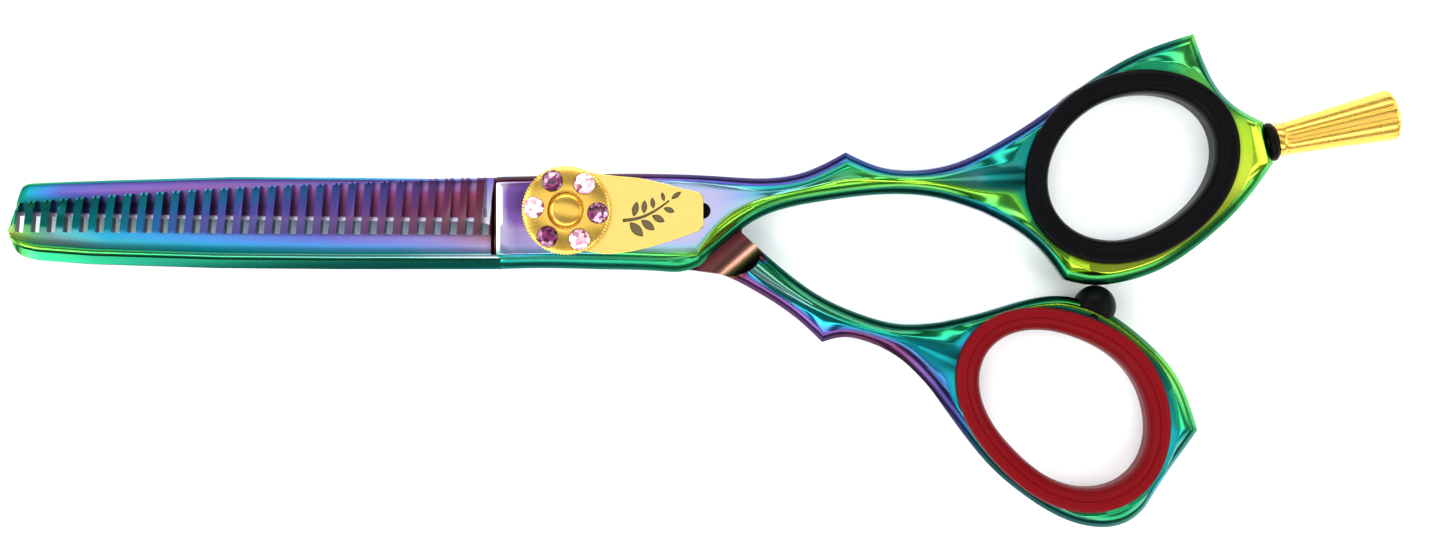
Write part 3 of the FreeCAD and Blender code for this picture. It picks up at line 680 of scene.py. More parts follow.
combBlade = {
    "tipX": -67.8,
    "heelX": -8.6,
    # back of the blade, and the ends of its teeth
    "low": [(-67.8, -2.6), (-67.7, -3.5), (-67.35, -4.4), (-66.8, -5.1), (-65.9, -5.6), (-64.5, -5.95),
            (-58, -6.44), (-42.3, -6.92), (-27.7, -7.04), (-8.2, -7.04)],
    "high": [(-67.8, -1.9), (-67.6, -1.0), (-67.35, 0.0), (-67.1, 0.6), (-66.8, 1.0), (-66.4, 1.17),
             (-53.8, 2.1), (-39.2, 3.0), (-24.0, 3.62), (-15.5, 3.98), (-8.2, 4.1)],
    "slots": 30,
    "firstSlot": -66.5,
    "lastSlot": -10.1,
    "slotWidth": 1.0,
    "lean": 4.0,
    "notchWidth": 0.4,
    "notchDepth": 0.6,
    "slotFloors": (-2.95, -3.3),
    "cornerRadius": 0.42,
    "tipDrop": 0.5,
    "grooveDepth": 1.1,
    # film along the blade, 0 at the tip and 1 at the heel; imaginary parts are painted highlight above 0 and
    # painted shade below 0
    "strip": [(0, 0.84-0.1j), (0.08, 0.76-0.3j), (0.3, 0.72-0.4j), (1, 0.70-0.2j)],
    "bead": [(0, 0.92+0j), (0.1, 0.84+0j), (0.4, 0.74+0.08j), (0.8, 0.70+0.2j), (1, 0.66+0.7j)],
    "crease": [(0, 0.98+0.2j), (0.03, 0.93+0.1j), (0.08, 0.74+0.3j), (0.2, 0.64+0.12j),
               (0.4, 0.61+0j), (0.8, 0.59+0.1j), (0.9, 0.54+0.3j), (1, 0.36+0.6j)],
    "bottom": [(0, 0.92+0.1j), (0.04, 0.82+0.1j), (0.1, 0.64+0.2j), (0.2, 0.58+0j),
               (0.4, 0.52+0.03j), (0.64, 0.47+0.05j), (0.85, 0.42+0.2j), (1, 0.24+0.2j)],
    "face": [(0, 0.88+0.4j), (0.006, 0.84+0.2j), (0.014, 0.70-0.2j), (0.1, 0.68-0.25j),
             (0.22, 0.60-0.2j), (0.4, 0.44+0.08j), (0.6, 0.37+0.08j), (0.8, 0.28+0.08j),
             (0.93, 0.21+0.12j), (1, 0.19+0.08j)],
    "tip": [(0, 0.88+0.3j), (0.014, 0.74-0.3j), (0.3, 0.60-0.3j), (0.75, 0.46-0.3j),
            (0.9, 0.30-0.2j), (1, 0.22-0.1j)],
    # X where the groove starts and where its far wall stands
    "heelGroove": (-9.25, -8.5),
    # film of the groove's floor and far wall, with painted shade in the groove
    "grooveFilmAndShade": (0.17-0.6j, 0.2-0.9j),
    # X, radius and floor of the hole under the gold plate's end
    "keyHole": (16.3, 0.97, 3.6),
}


def bladeXs(start, end, fine, count):
    # Close together at the rounded tip
    near = list(start + fine * (1 - np.cos(np.linspace(0, math.pi / 2, 14))) * 3)
    return near + list(np.linspace(near[-1], end, count))[1:]


def bladePlate(name, xs, section):
    # One closed section per X, joined along the blade
    around = [section(x) for x in xs]
    points = np.array([[(x, y, z) for y, z, f in row] for x, row in zip(xs, around)], float)
    piece = latticePiece(name, points)
    closeMesh(piece, fillEnds=True)
    return piece, points.reshape(-1, 3), np.array([f for row in around for y, z, f in row])


def combSection(x):
    low, high = (np.interp(x, *zip(*combBlade[key])) for key in ("low", "high"))
    share = shareAlong(combBlade, x)
    tipDrop = combBlade["tipDrop"] * (1 - share)
    s = min(1.0, (high - low) / 7.0)
    strip, bead, crease, bottom, face, tip = (keyed(combBlade[key], share)
                                              for key in ("strip", "bead", "crease", "bottom", "face", "tip"))
    # Distance from the back, height and film: flat strip, dark line, bead, dark line, hollow face; the dark
    # lines are painted shade in the creases beside the bead
    rows = [(0, 4.15, strip), (0.1, 4.26, strip), (1.0, 4.98, strip), (1.06, 5.02, 0.78-0.85j),
            (1.24, 5.16, 0.78-0.85j), (1.3, 5.22, bead), (1.5, 5.34, bead), (1.75, 5.38, bead),
            (1.95, 5.34, 0.70-0.2j), (2.02, 5.40, crease), (2.4, 5.45, crease * 0.8 + bottom * 0.2),
            (2.9, 5.48, (crease + bottom) / 2), (3.5, 5.47, bottom), (4.0, 5.43, bottom), (4.4, 5.36, face),
            (6.0, 5.08, face)]
    # The groove between blade and boss, sunk and with painted shade
    start, floor = combBlade["heelGroove"]
    sunk = combBlade["grooveDepth"] * max(0, min(1, (x - start) / 0.12))
    if sunk:
        tip = combBlade["grooveFilmAndShade"][0 if x < floor else 1]
    out = [(low, lidPlane, strip)]
    for d, z, f in rows:
        z -= tipDrop * min(1, d)
        if d > 1.8 and sunk:
            z, f = z - sunk, tip
        out.append((low + d * s, z, f))
    top = 4.55 - tipDrop - sunk
    return out + [(high - 0.9 * s, top + 0.12, tip), (high - 0.25 * s, top, tip), (high, top - 0.25, tip),
                  (high, lidPlane, tip), (low, lidPlane, strip)]


def slotCutters():
    # Slots with rounded floors, and a V notch in the end of each tooth between them
    first, last, count = (combBlade[key] for key in ("firstSlot", "lastSlot", "slots"))
    lean = math.radians(combBlade["lean"])
    step = (last - first) / (count - 1)
    made = []
    for index in range(count):
        share = index / (count - 1)
        x = first + (last - first) * share
        floor = np.interp(share, (0, 1), combBlade["slotFloors"])
        bpy.ops.mesh.primitive_cube_add(size=1, location=Vector((x, floor + 5.4, 5.0)) * mm,
                                        scale=(combBlade["slotWidth"] * mm, 10 * mm, 6 * mm))
        cutter = freshPiece("slot")
        editAll(cutter)
        bpy.ops.mesh.select_all(action="DESELECT")
        leaveEdit()
        for edge in cutter.data.edges:
            a, b = [cutter.data.vertices[i].co for i in edge.vertices]
            edge.select = abs(a.z - b.z) > 0.1 and a.y < 0
        bpy.ops.object.mode_set(mode="EDIT")
        bpy.ops.mesh.bevel(offset=combBlade["cornerRadius"] * mm, segments=4)
        leaveEdit()
        editAll(cutter)
        bpy.ops.transform.rotate(value=lean, orient_axis="Z", center_override=Vector((x, floor, 0)) * mm)
        leaveEdit()
        settle(cutter)
        made.append(cutter)
        if index < count - 1:
            top = np.interp(x + step / 2, *zip(*combBlade["high"]))
            bpy.ops.mesh.primitive_cylinder_add(vertices=3, radius=1, depth=6 * mm)
            notch = freshPiece("notch")
            notch.scale = (combBlade["notchWidth"] * mm, combBlade["notchDepth"] * mm, 1)
            notch.rotation_euler = (0, 0, math.pi - lean)
            notch.location = Vector((x + step / 2 + math.tan(lean) * (top + 3), top + 0.12, 5.0)) * mm
            settle(notch)
            made.append(notch)
    return joinInto(*made)


def makeCombHalf(material, paintedSlotShade):
    # Extra sections shape the groove at the heel
    xs = bladeXs(combBlade["tipX"], -9.3, 1.2, 90) + [-9.24, -9.14, -9.0, -8.75, -8.52, -8.45, -8.2]
    blade, bladePlaces, bladeFilm = bladePlate("combBlade", xs, combSection)
    placeMaterial(blade, material)
    # Slot walls take the painted shade material, so the windows between the teeth look dark
    cutters = slotCutters()
    placeMaterial(cutters, paintedSlotShade)
    cutWith(blade, cutters, materials="TRANSFER")
    handle, places, film = handlePiece("combHalf", fingerSide)
    cutWith(handle, cylinder("relief", neckRadius + 0.1, -3, lidPlane, vertices=256))
    x, radius, floor = combBlade["keyHole"]
    cutWith(handle, cylinder("keyHole", radius, floor, 9.6, (x, 0), 48))
    placeMaterial(handle, material)
    joinInto(handle, blade)
    # The hole's walls and floor are painted dark: painted shade in the hole
    hole = [(x + radius * math.cos(a), radius * math.sin(a), z)
            for a in np.linspace(0, 6, 12) for z in (floor, 5)]
    hole = np.array(hole + [(x, 0, floor)])
    paintFilm(handle, np.concatenate([places, bladePlaces, hole]),
              np.concatenate([film, bladeFilm, np.full(len(hole), 0.5 - 1j)]))
    smoothShade(handle, creaseAngle)
    publish(handle, "finger_side", "comb_half")


thumbSide = {
    "upper": [
        [(12.0, 3.0), (16.0, 1.6), (21.1, -2.6), (25.74, -6.8), (30.6, -10.32), (35.46, -12.51),
         (40.3, -13.72), (45.17, -13.5)],
    ],
    "ring": [
        [(45.17, -13.5), (50.03, -12.39), (57.0, -10.5), (60.5, -10.36), (64.6, -11.78), (69.46, -15.18),
         (73.7, -19.8), (76.38, -26.6)],
        [(76.38, -26.6), (73.27, -30.93), (70.05, -35.88)],
        [(70.05, -35.88), (68.8, -37.1), (67.0, -38.05), (62.62, -38.12), (55.18, -34.36), (51.46, -31.2),
         (47.72, -26.71), (44.03, -21.6)],
    ],
    "lower": [
        [(12.0, -6.9), (18.46, -7.65), (22.08, -9.35), (28.11, -13.36), (30.8, -15.9)],
        [(30.8, -15.9), (33.15, -15.3), (36.16, -15.8), (40.31, -17.92), (44.03, -21.6)],
    ],
    "midLine": [(12.0, -1.5), (16.0, -3.0), (22.9, -7.9), (26.5, -10.1), (30.1, -12.1), (34.1, -13.7),
                (38.2, -14.9), (42.0, -16.1), (46.0, -17.8)],
    "ringMiddle": (60.6, -24.0),
    "ringHalves": (12.4, 9.3),
    "ringTilt": -39.5,
    "ringEgg": (0.035, 0.03, 155.0),
    "joinAngle": 156.6,
    "stops": [12.0, 30.9, 38.2, 49.55],
    "counts": [40, 16, 26],
    "easing": 10,
    "pairUpper": [(12.0, 12.0), (16.0, 17.5), (22.9, 24.6), (30.1, 31.8), (38.2, 39.0), (49.55, 45.17)],
    "pairLower": [(12.0, 12.0), (22.9, 21.5), (30.9, 30.8), (38.2, 36.6), (49.55, 44.03)],
    # Profile tables as on the finger side: imaginary parts are painted highlight above 0 and painted shade
    # below 0, and the collar value is painted shade beside the hole
    "neckUpper": {
        "strip": [(42, 0.8), (49.5, 0.9)],
        "ridge": [(37, 0.14), (40, 0.3), (49.55, 3.3)],
        "zWall": 4.1,
        "zStrip": [(12.0, 4.9), (49.5, 4.95)],
        "zRidge": [(12.0, 5.75), (49.5, 5.8)],
        "zInner": [(38, 5.72), (49.5, 5.35)],
        "bulge": [(12.0, 0.4), (38, 0.35), (44, 0.2), (49.5, 0.1)],
        "collar": [(45, 0), (47.5, 0.5), (49.5, 0.7)],
        "film": [(12.0, (0.66, 0.72-0.2j, 0.77, 0.72, 0.70)),
                 (24, (0.68, 0.74-0.3j, 0.77, 0.70+0.3j, 0.64+0.5j)),
                 (34, (0.70-0.2j, 0.74-0.4j, 0.77, 0.74, 0.70-0.4j)),
                 (42, (0.68-0.2j, 0.74-0.4j, 0.78, 0.70, 0.65)),
                 (49.5, (0.68-0.2j, 0.72-0.4j, 0.78, 0.68, 0.64))],
    },
    "neckLower": {
        "strip": [(12.0, 0.9), (22, 1.0), (30.9, 0.95), (38, 1.2), (49.5, 1.3)],
        "ridge": [(12.0, 0.14), (22, 0.2), (26, 0.9), (29, 0.5), (30.9, 0.75), (33, 0.35), (37, 0.14),
                  (40, 0.4), (49.55, 3.4)],
        "zWall": 4.1,
        "zStrip": [(12.0, 5.0), (49.5, 4.9)],
        "zRidge": [(12.0, 5.72), (30, 5.6), (38, 5.7), (49.5, 5.8)],
        "zInner": [(38, 5.72), (49.5, 5.35)],
        "bulge": [(12.0, 0.05), (49.5, 0.02)],
        "collar": [(45, 0), (47.5, 0.5), (49.5, 0.7)],
        "film": [(12.0, (0.28-0.3j, 0.30-0.2j, 0.44-0.7j, 0.50-0.4j, 0.70)),
                 (24, (0.28-0.3j, 0.30-0.1j, 0.44-0.7j, 0.56-0.3j, 0.70)),
                 (30.9, (0.32-0.4j, 0.36-0.2j, 0.48-0.5j, 0.62-0.1j, 0.70)),
                 (36, (0.25-0.3j, 0.28-0.1j, 0.46-0.8j, 0.60-0.5j, 0.68-0.2j)),
                 (42, (0.25-0.3j, 0.30-0.2j, 0.46-0.8j, 0.54-0.3j, 0.63)),
                 (49.5, (0.32-0.4j, 0.44-0.4j, 0.46-0.8j, 0.54-0.4j, 0.64))],
    },
    "around": {
        "strip": [(-203.4, 1.3), (-185, 1.1), (-160, 0.9), (-118, 0.9), (-82, 0.9), (-60, 0.8),
                  (-45, 0.7), (-30, 0.6), (-19, 0.9), (-8, 0.9), (5, 0.8), (60, 0.75), (100, 0.8),
                  (123, 0.7), (140, 0.8), (156.6, 0.9)],
        "ridge": [(-203.4, 3.4), (-192, 2.9), (-180, 2.6), (-165, 2.5), (-110, 2.4), (-30, 2.1),
                  (-10, 2.7), (5, 2.7), (40, 2.6), (110, 2.5), (140, 2.7), (156.6, 3.3)],
        "zWall": 4.1,
        "zStrip": [(-203.4, 4.9), (-180, 5.0), (156.6, 4.95)],
        "zRidge": 5.8,
        "zInner": [(-203.4, 5.35), (-190, 5.3), (140, 5.3), (156.6, 5.35)],
        "bulge": [(-203.4, 0.02), (-180, 0.06), (-60, 0.08), (60, 0.12), (156.6, 0.1)],
        "collar": 0.7,
        "film": [(-203.4, (0.32-0.4j, 0.44-0.4j, 0.46-0.8j, 0.54-0.4j, 0.64)),
                 (-185, (0.36-0.4j, 0.50-0.4j, 0.52-0.6j, 0.62-0.3j, 0.66)),
                 (-165, (0.50-0.5j, 0.64-0.5j, 0.68-0.4j, 0.78+0.2j, 0.82+0.3j)),
                 (-140, (0.64-0.5j, 0.70-0.4j, 0.76+0.1j, 0.80+0.4j, 0.80+0.3j)),
                 (-110, (0.68-0.4j, 0.72-0.3j, 0.78+0.1j, 0.80+0.3j, 0.80+0.1j)),
                 (-80, (0.66-0.4j, 0.72-0.3j, 0.78, 0.78, 0.78)),
                 (-58, (0.70-0.1j, 0.76-0.2j, 0.77, 0.78, 0.78)), (-40, (0.6, 0.68, 0.70, 0.70, 0.68)),
                 (-12, (0.72, 0.74, 0.70, 0.68, 0.62)), (-8, (0.78, 0.80, 0.78, 0.76, 0.64)),
                 (20, (0.84, 0.90, 0.86, 0.82, 0.66-0.3j)),
                 (45, (0.72-0.2j, 0.90, 0.96, 0.97, 0.68-0.5j)),
                 (80, (0.70-0.3j, 0.86, 0.95, 0.97, 0.60-0.6j)),
                 (110, (0.64-0.3j, 0.76, 0.90, 0.94, 0.54-0.6j)),
                 (130, (0.68-0.2j, 0.74-0.3j, 0.80, 0.84, 0.54-0.5j)),
                 (156.6, (0.68-0.2j, 0.72-0.4j, 0.78, 0.68, 0.50-0.1j))],
    },
}

straightBlade = {
    "tipX": -67.4,
    "heelX": -8.0,
    "tipThinner": 0.9,
    "spine": [(-67.4, 0.4), (-67.3, 1.2), (-67.05, 2.2), (-66.75, 2.95), (-66.4, 3.3), (-65.8, 3.45),
              (-64.1, 3.52), (-61.7, 3.62), (-56.8, 3.78), (-50.8, 3.96), (-41, 4.24), (-26.0, 4.13),
              (-16, 4.0), (-8, 4.1)],
    "edge": [(-67.4, -0.3), (-67.1, -0.55), (-55, -0.82), (-37, -1.05), (-20, -1.2), (-8, -1.25)],
    # film along the blade, 0 at the tip and 1 at the heel: "under" is the face beneath the comb's teeth, in
    # painted shade; imaginary parts are painted highlight above 0 and painted shade below 0
    "under": [(0, 0.66-0.5j), (0.12, 0.50-0.7j), (0.3, 0.36-0.65j), (0.6, 0.30-0.4j),
              (0.8, 0.26-0.2j), (1, 0.20+0.05j)],
    "over": [(0, 0.78+0j), (0.03, 0.58+0j), (0.1, 0.42+0.05j), (0.2, 0.36+0.05j),
             (0.4, 0.31+0.05j), (0.7, 0.32+0.05j), (1, 0.30+0.1j)],
    "rim": [(0, 0.84+0j), (0.1, 0.76+0j), (0.5, 0.68-0.1j), (1, 0.48+0.1j)],
    "bevelPaintedHighlight": 0.35 + 1j,
}


def straightSection(x):
    spine, edge = (np.interp(x, *zip(*straightBlade[key])) for key in ("spine", "edge"))
    share = shareAlong(straightBlade, x)
    thin = straightBlade["tipThinner"] * (1 - share)
    s = min(1.0, (spine - edge) / 3.5)
    under, over, rim = (keyed(straightBlade[key], share) for key in ("under", "over", "rim"))
    # The edge's bevel is painted silver as a painted highlight, and the face next to it gets extra painted
    # shade
    bevel = straightBlade["bevelPaintedHighlight"]
    return [(edge, 2.7, bevel), (edge + 0.02 * s, 3.055, bevel), (edge + 0.42 * s, 3.06, bevel),
            (edge + 0.56 * s, heelPlane, under - 0.4j), (edge + 1.6 * s, heelPlane, under - 0.3j),
            (spine - 2.2 * s, heelPlane, under), (spine - 1.3 * s, heelPlane, over),
            (spine - 0.3 * s, 3.07, over), (spine - 0.24 * s, 3.05, rim), (spine - 0.04, 2.85, rim),
            (spine, 2.6, rim), (spine, 1.3 + thin * 0.4, rim), (spine - 0.5 * s, 0.7 + thin, rim),
            (spine - 1.5 * s, 0.62 + thin, over), (edge, 2.7, bevel)]


heelPlate = {
    "low": 0.6,
    "arc": (0.188, -0.13),
    "lower": [(18.46, -7.65), (14.0, -7.05), (9.0, -6.6), (2.0, -6.6), (-3.0, -6.2), (-7.5, -2.6),
              (-11.0, -1.25)],
    "upper": [(-11.0, 4.1), (0.0, 4.1), (20.8, 3.97)],
    # radius and top of the bores for the washer and the bush
    "bores": [(4.53, 1.31), (2.6, 5)],
    # the hollow ramp's foot, from its first corner to its second, and its size across
    "rampFoot": ((16.31, -6.92, 0), (neckRadius + 0.3, -2.5, 0)),
    "rampRise": 5.7 - heelPlane,
    "rampWidth": 3.9,
    # film grid on the ramp: its start, steps along and across, and rise across
    "filmStart": (16.0, -6.9),
    "filmSteps": ((5.5, 4.6), (1.6, -2.0)),
    "filmRise": 0.75,
    # the neck's own film holds past this distance along the direction across the ramp, and on the underside
    "across": (0.625, -0.781),
    "rampEnd": 4.1,
    "underside": 2.6,
}


def makeHeelPlate():
    # The thin heel that turns under the comb half
    outline = [onCircle(neckRadius, a) for a in np.linspace(*heelPlate["arc"], 24)]
    outline += list(smoothCurve(heelPlate["lower"], 40)) + list(smoothCurve(heelPlate["upper"], 12))
    piece = flatOutline("heelPlate", outline, heelPlate["low"], heelPlane)
    for radius, top in heelPlate["bores"]:
        cutWith(piece, cylinder("bore", radius, -1, top))
    return piece


def scoopCutter():
    # Everything over the heel plate, ending in a hollow ramp
    first, second = (Vector(place) for place in heelPlate["rampFoot"])
    along = (second - first).normalized()
    turn = math.atan2(along.y, along.x)
    rise = heelPlate["rampRise"]
    radius = (heelPlate["rampWidth"] ** 2 + rise ** 2) / (2 * rise)
    middle = first + along * 10
    bpy.ops.mesh.primitive_cylinder_add(vertices=256, radius=radius * mm, depth=60 * mm,
                                        rotation=(math.pi / 2, 0, turn + math.pi / 2),
                                        location=(middle + Vector((0, 0, heelPlane + radius))) * mm)
    groove = freshPiece("groove")
    settle(groove)
    above = Vector((-along.y, along.x, 0)) * 20 + Vector((0, 0, heelPlane + 10))
    bpy.ops.mesh.primitive_cube_add(size=1, location=(middle + above) * mm, rotation=(0, 0, turn),
                                    scale=(60 * mm, 40 * mm, 20 * mm))
    block = freshPiece("block")
    settle(block)
    cutWith(groove, block, "UNION")
    return groove


def heelFilm():
    # Film on the heel plate, and along and across the ramp: a painted highlight line on brown, with painted
    # shade to both sides
    plate = np.array([(x, y, z) for x in np.linspace(-12, 21, 12) for y in (-7, -3, 1, 4)
                      for z in (heelPlate["low"], heelPlane)])
    # The plate's top, under the comb half, gets painted shade and its underside a little painted highlight
    plateFilm = np.where(plate[:, 2] > 2, 0.22 - 0.4j, 0.36 + 0.2j)
    along, across = (np.array(step) for step in heelPlate["filmSteps"])
    ramp, rampFilm = [], []
    for u in np.linspace(-0.3, 1.2, 12):
        for v in np.linspace(0, 1.7, 12):
            x, y = heelPlate["filmStart"] + u * along + v * across
            ramp.append((x, y, heelPlane + 0.02 + v * v * heelPlate["filmRise"]))
            paintedHighlight = math.exp(-((v - 0.85) / 0.34) ** 2)
            rampFilm.append(0.16 - 0.10 * paintedHighlight - 1j * (0.62 - 0.62 * paintedHighlight))
    return np.concatenate([plate, ramp]), np.concatenate([plateFilm, rampFilm])


def makeStraightHalf(material):
    xs = bladeXs(straightBlade["tipX"], -10.0, 0.9, 80)
    blade, bladePlaces, bladeFilm = bladePlate("straightBlade", xs, straightSection)
    handle, places, film = handlePiece("straightHalf", thumbSide)
    cutWith(handle, scoopCutter())
    joinInto(handle, blade, makeHeelPlate())
    distance = (places[:, :2] - heelPlate["filmStart"]) @ heelPlate["across"]
    keep = (distance > heelPlate["rampEnd"]) | (places[:, 2] < heelPlate["underside"])
    heelPlaces, heelValues = heelFilm()
    paintFilm(handle, np.concatenate([places[keep], bladePlaces, heelPlaces]),
              np.concatenate([film[keep], bladeFilm, heelValues]))
    smoothShade(handle, creaseAngle)
    publish(handle, "thumb_side", "straight_half", material)


def softened(profile, size, steps=4):
    # Rounds the corners of an open profile
    points = [np.array(p, float) for p in profile]
    result = [points[0]]
    for before, corner, after in zip(points, points[1:], points[2:]):
        first, second = before - corner, after - corner
        reach = min(size, np.hypot(*first) * 0.45, np.hypot(*second) * 0.45)
        start = corner + first / np.hypot(*first) * reach
        end = corner + second / np.hypot(*second) * reach
        for t in np.linspace(0, 1, steps):
            result.append(start * (1 - t) ** 2 + corner * 2 * t * (1 - t) + end * t ** 2)
    return result + [points[-1]]


# Half axes at the sleeve's opening, and its section as distance outwards and height
ringInserts = {
    "fingerInsert": {
        "halves": (10.6, 8.3),
        "section": [(0, 3.2), (0, 5.0), (0.25, 5.75), (0.75, 6.2), (1.1, 6.26), (1.25, 6.16), (1.4, 6.32),
                    (2.3, 6.4), (2.75, 6.2), (2.9, 5.7), (1.09, 5.7), (1.09, 3.2)],
    },
    "thumbInsert": {
        "halves": (11.3, 8.2),
        "section": [(0, 3.2), (0, 4.7), (0.3, 5.5), (0.95, 6.06), (1.35, 6.2), (1.5, 6.08), (1.62, 6.3),
                    (2.2, 6.4), (2.7, 6.25), (2.9, 5.7), (1.09, 5.7), (1.09, 3.2)],
    },
}


def ringInsert(name, side, body, node, material):
    values = ringInserts[name]
    upper = softened(values["section"], 0.16)
    section = upper + [(d, 2 * middleHeight - z) for d, z in upper[-2:0:-1]]
    tilt = math.radians(side["ringTilt"])
    middle = side["ringMiddle"]
    rows = []
    for a in np.linspace(0, 2 * math.pi, 180, endpoint=False):
        row = []
        for d, z in section:
            x, y = (values["halves"][0] + d) * math.cos(a), (values["halves"][1] + d) * math.sin(a)
            swell = eggScale(side["ringEgg"], math.degrees(math.atan2(y, x)) + side["ringTilt"])
            x, y = x * swell, y * swell
            row.append((middle[0] + x * math.cos(tilt) - y * math.sin(tilt),
                        middle[1] + x * math.sin(tilt) + y * math.cos(tilt), z))
        rows.append(row)
    piece = closedLattice(name, np.array(rows))
    smoothShade(piece, 35)
    publish(piece, body, node, material)


leafPlate = {
    "low": 6.0,
    "high": 6.8,
    "rim": 0.14,
    "round": 5.2,
    "tail": [
        [(2.0, 4.8), (5.6, 4.2), (8.8, 3.9), (13.2, 2.85), (15.9, 2.2)],
        [(15.9, 2.2), (16.4, 1.7)],
        [(16.4, 1.7), (16.4, -1.9)],
        [(16.4, -1.9), (15.9, -2.4)],
        [(15.9, -2.4), (11.0, -4.1), (7.7, -4.9), (4.5, -5.2), (2.0, -4.8)],
    ],
    "engraving": 0.14,
    "stem": [(6.7, -1.2), (8.6, -0.9), (10.6, 0.0), (12.3, 1.2)],
    "stemWidth": (0.432, 0.216),
    "leaves": 4,
    "leafLength": 2.35,
    "leafWidth": 1.15,
    # lean from the stem, and shares of the length and width, outside and inside the stem's curve
    "outerLeaf": (0.95, 1.0, 1.0),
    "innerLeaf": (1.2, 0.8, 0.72),
}


def leafShape(start, angle, length, width):
    # Pointed leaf drawn with two arcs
    along = np.array([math.cos(angle), math.sin(angle)])
    side = np.array([-along[1], along[0]])
    upper, lower = ([start + along * length * t + side * reach / 2 * math.sin(math.pi * t) ** 0.8
                     for t in np.linspace(0, 1, 9)] for reach in (width, -width))
    return upper + lower[-2:0:-1]


def sprigShapes(values):
    # A curved stem that tapers, pairs of leaves that grow smaller along it, and one at its end
    stem = smoothCurve(values["stem"], 24)
    along = np.gradient(stem, axis=0)
    side = np.stack([-along[:, 1], along[:, 0]], 1) / np.hypot(*along.T)[:, None]
    width = np.linspace(*values["stemWidth"], len(stem))[:, None] / 2
    shapes = [list(stem + side * width) + list((stem - side * width)[::-1])]
    for index in range(values["leaves"]):
        place = int(3 + index * 5.4)
        heading = math.atan2(along[place][1], along[place][0])
        size = 1 - 0.13 * index
        for turn, shift, leaf in ((-1, 0, values["outerLeaf"]), (1, 2, values["innerLeaf"])):
            begin = stem[place + shift] + side[place] * turn * 0.30
            shapes.append(leafShape(begin, heading + turn * leaf[0], values["leafLength"] * size * leaf[1],
                                    values["leafWidth"] * size * leaf[2]))
    heading = math.atan2(along[-1][1], along[-1][0])
    return shapes + [leafShape(stem[-1] + along[-1] * 1.1, heading, 1.5, 0.6)]


def makeLeafPlate(gold, engraved):
    values = leafPlate
    outline = []
    for stretch in values["tail"]:
        outline += list(smoothCurve(stretch, 14 if len(stretch) > 2 else 2)[:-1])
    start = math.atan2(-4.8, 2.0)
    outline += [onCircle(values["round"], a)
                for a in np.linspace(start, start - 2 * (math.pi + start), 40, endpoint=False)]
    plate = flatOutline("leafPlate", outline, values["low"], values["high"])
    roundEdges(plate, values["rim"], 3, 50)
    placeMaterial(plate, gold)
    for shape in sprigShapes(values):
        cutter = flatOutline("engraving", shape, values["high"] - values["engraving"], values["high"] + 1)
        placeMaterial(cutter, engraved)
        cutWith(plate, cutter, materials="TRANSFER")
    smoothShade(plate, 40)
    addModifier(plate, "WEIGHTED_NORMAL", keep_sharp=True)
    publish(plate, "finger_side", "leaf_plate")


tensionDial = {
    "rim": 5.36,
    "low": 6.86,
    "rimHigh": 8.5,
    "top": 9.2,
    "bore": 4.4,
    "boreHigh": 7.3,
    "well": 2.15,
    "wellFloor": 8.31,
    "grooves": 84,
    "grooveDepth": 0.17,
    "crystalCircle": 3.85,
    "crystalRadius": 1.25,
    "crystalHeight": 8.84,
    "firstAngle": -5.0,
}


def crystalPlace(index):
    angle = math.radians(tensionDial["firstAngle"] + 60 * index)
    return angle, onCircle(tensionDial["crystalCircle"], angle)


def makeDial(gold):
    values = tensionDial
    rim, rimHigh, low, top = (values[key] for key in ("rim", "rimHigh", "low", "top"))
    bore, boreHigh, well, floor = (values[key] for key in ("bore", "boreHigh", "well", "wellFloor"))
    domeStart, domeEnd = rim - 0.25, well + 0.14
    dome = [(domeStart + (domeEnd - domeStart) * t,
             rimHigh + 0.12 + (top - rimHigh - 0.14) * math.sin(t * math.pi / 2) ** 0.9)
            for t in np.linspace(0, 1, 9)]
    profile = [(bore, boreHigh), (bore, low), (rim - 0.16, low), (rim, low + 0.18), (rim, 7.9),
               (rim, rimHigh - 0.14), (rim - 0.06, rimHigh + 0.02), *dome, (well + 0.02, top - 0.05),
               (well, top - 0.16), (well, floor + 0.1), (well - 0.1, floor), (0.0, floor), (0.0, boreHigh),
               (bore, boreHigh)]
    # The rows of the rim's wall carry the knurling
    knurled = range(3, 7)

    def reach(angle, row):
        if row not in knurled:
            return 1.0
        place = angle * values["grooves"] / (2 * math.pi) % 1.0
        depth = values["grooveDepth"] * abs(2 * place - 1) ** 1.4
        return 1 - depth * (0.5 if row == knurled[-1] else 1) / rim

    dial = turnedPiece("tensionDial", profile, values["grooves"] * 6, reach)
    for index in range(6):
        place = crystalPlace(index)[1]
        cutWith(dial, cylinder("seat", values["crystalRadius"] + 0.03, 8.15, 10.15, place, 48))
    roundEdges(dial, 0.05, 2, 55)
    smoothShade(dial, 32)
    publish(dial, "dial", "tension_dial", gold)


def makeCrystals(dark, pale):
    # Point, girdle, crown and table of a round brilliant: share of the radius, height, turn in facets
    levels = [(0.0, -0.75, 0), (1.0, 0.0, 0), (1.0, 0.1, 0), (0.80, 0.24, 0.5), (0.52, 0.36, 0),
              (0.0, 0.36, 0)]
    rows = []
    for share, z, turn in levels:
        row = []
        for k in range(16):
            r = tensionDial["crystalRadius"] * share
            if 0 < share < 0.9 and (k % 2 == 0) != (turn == 0):
                r *= 0.94
            row.append((*onCircle(r, math.pi / 8 * (k + turn)), z))
        rows.append(row)
    for index in range(6):
        number = str(index + 1)
        gem = closedLattice("crystal" + number, np.array(rows), wrapRows=False)
        angle, place = crystalPlace(index)
        gem.location = Vector((*place, tensionDial["crystalHeight"])) * mm
        gem.rotation_euler = (0, math.radians(7), angle)
        settle(gem)
        publish(gem, "dial", "crystal_" + number, dark if index % 2 == 0 else pale)


dialCap = {
    "radius": 1.98,
    "shankRadius": 1.2,
    "shankLow": 6.9,
    "low": 8.34,
    "domeLow": 8.66,
    "domeRise": 0.5,
}


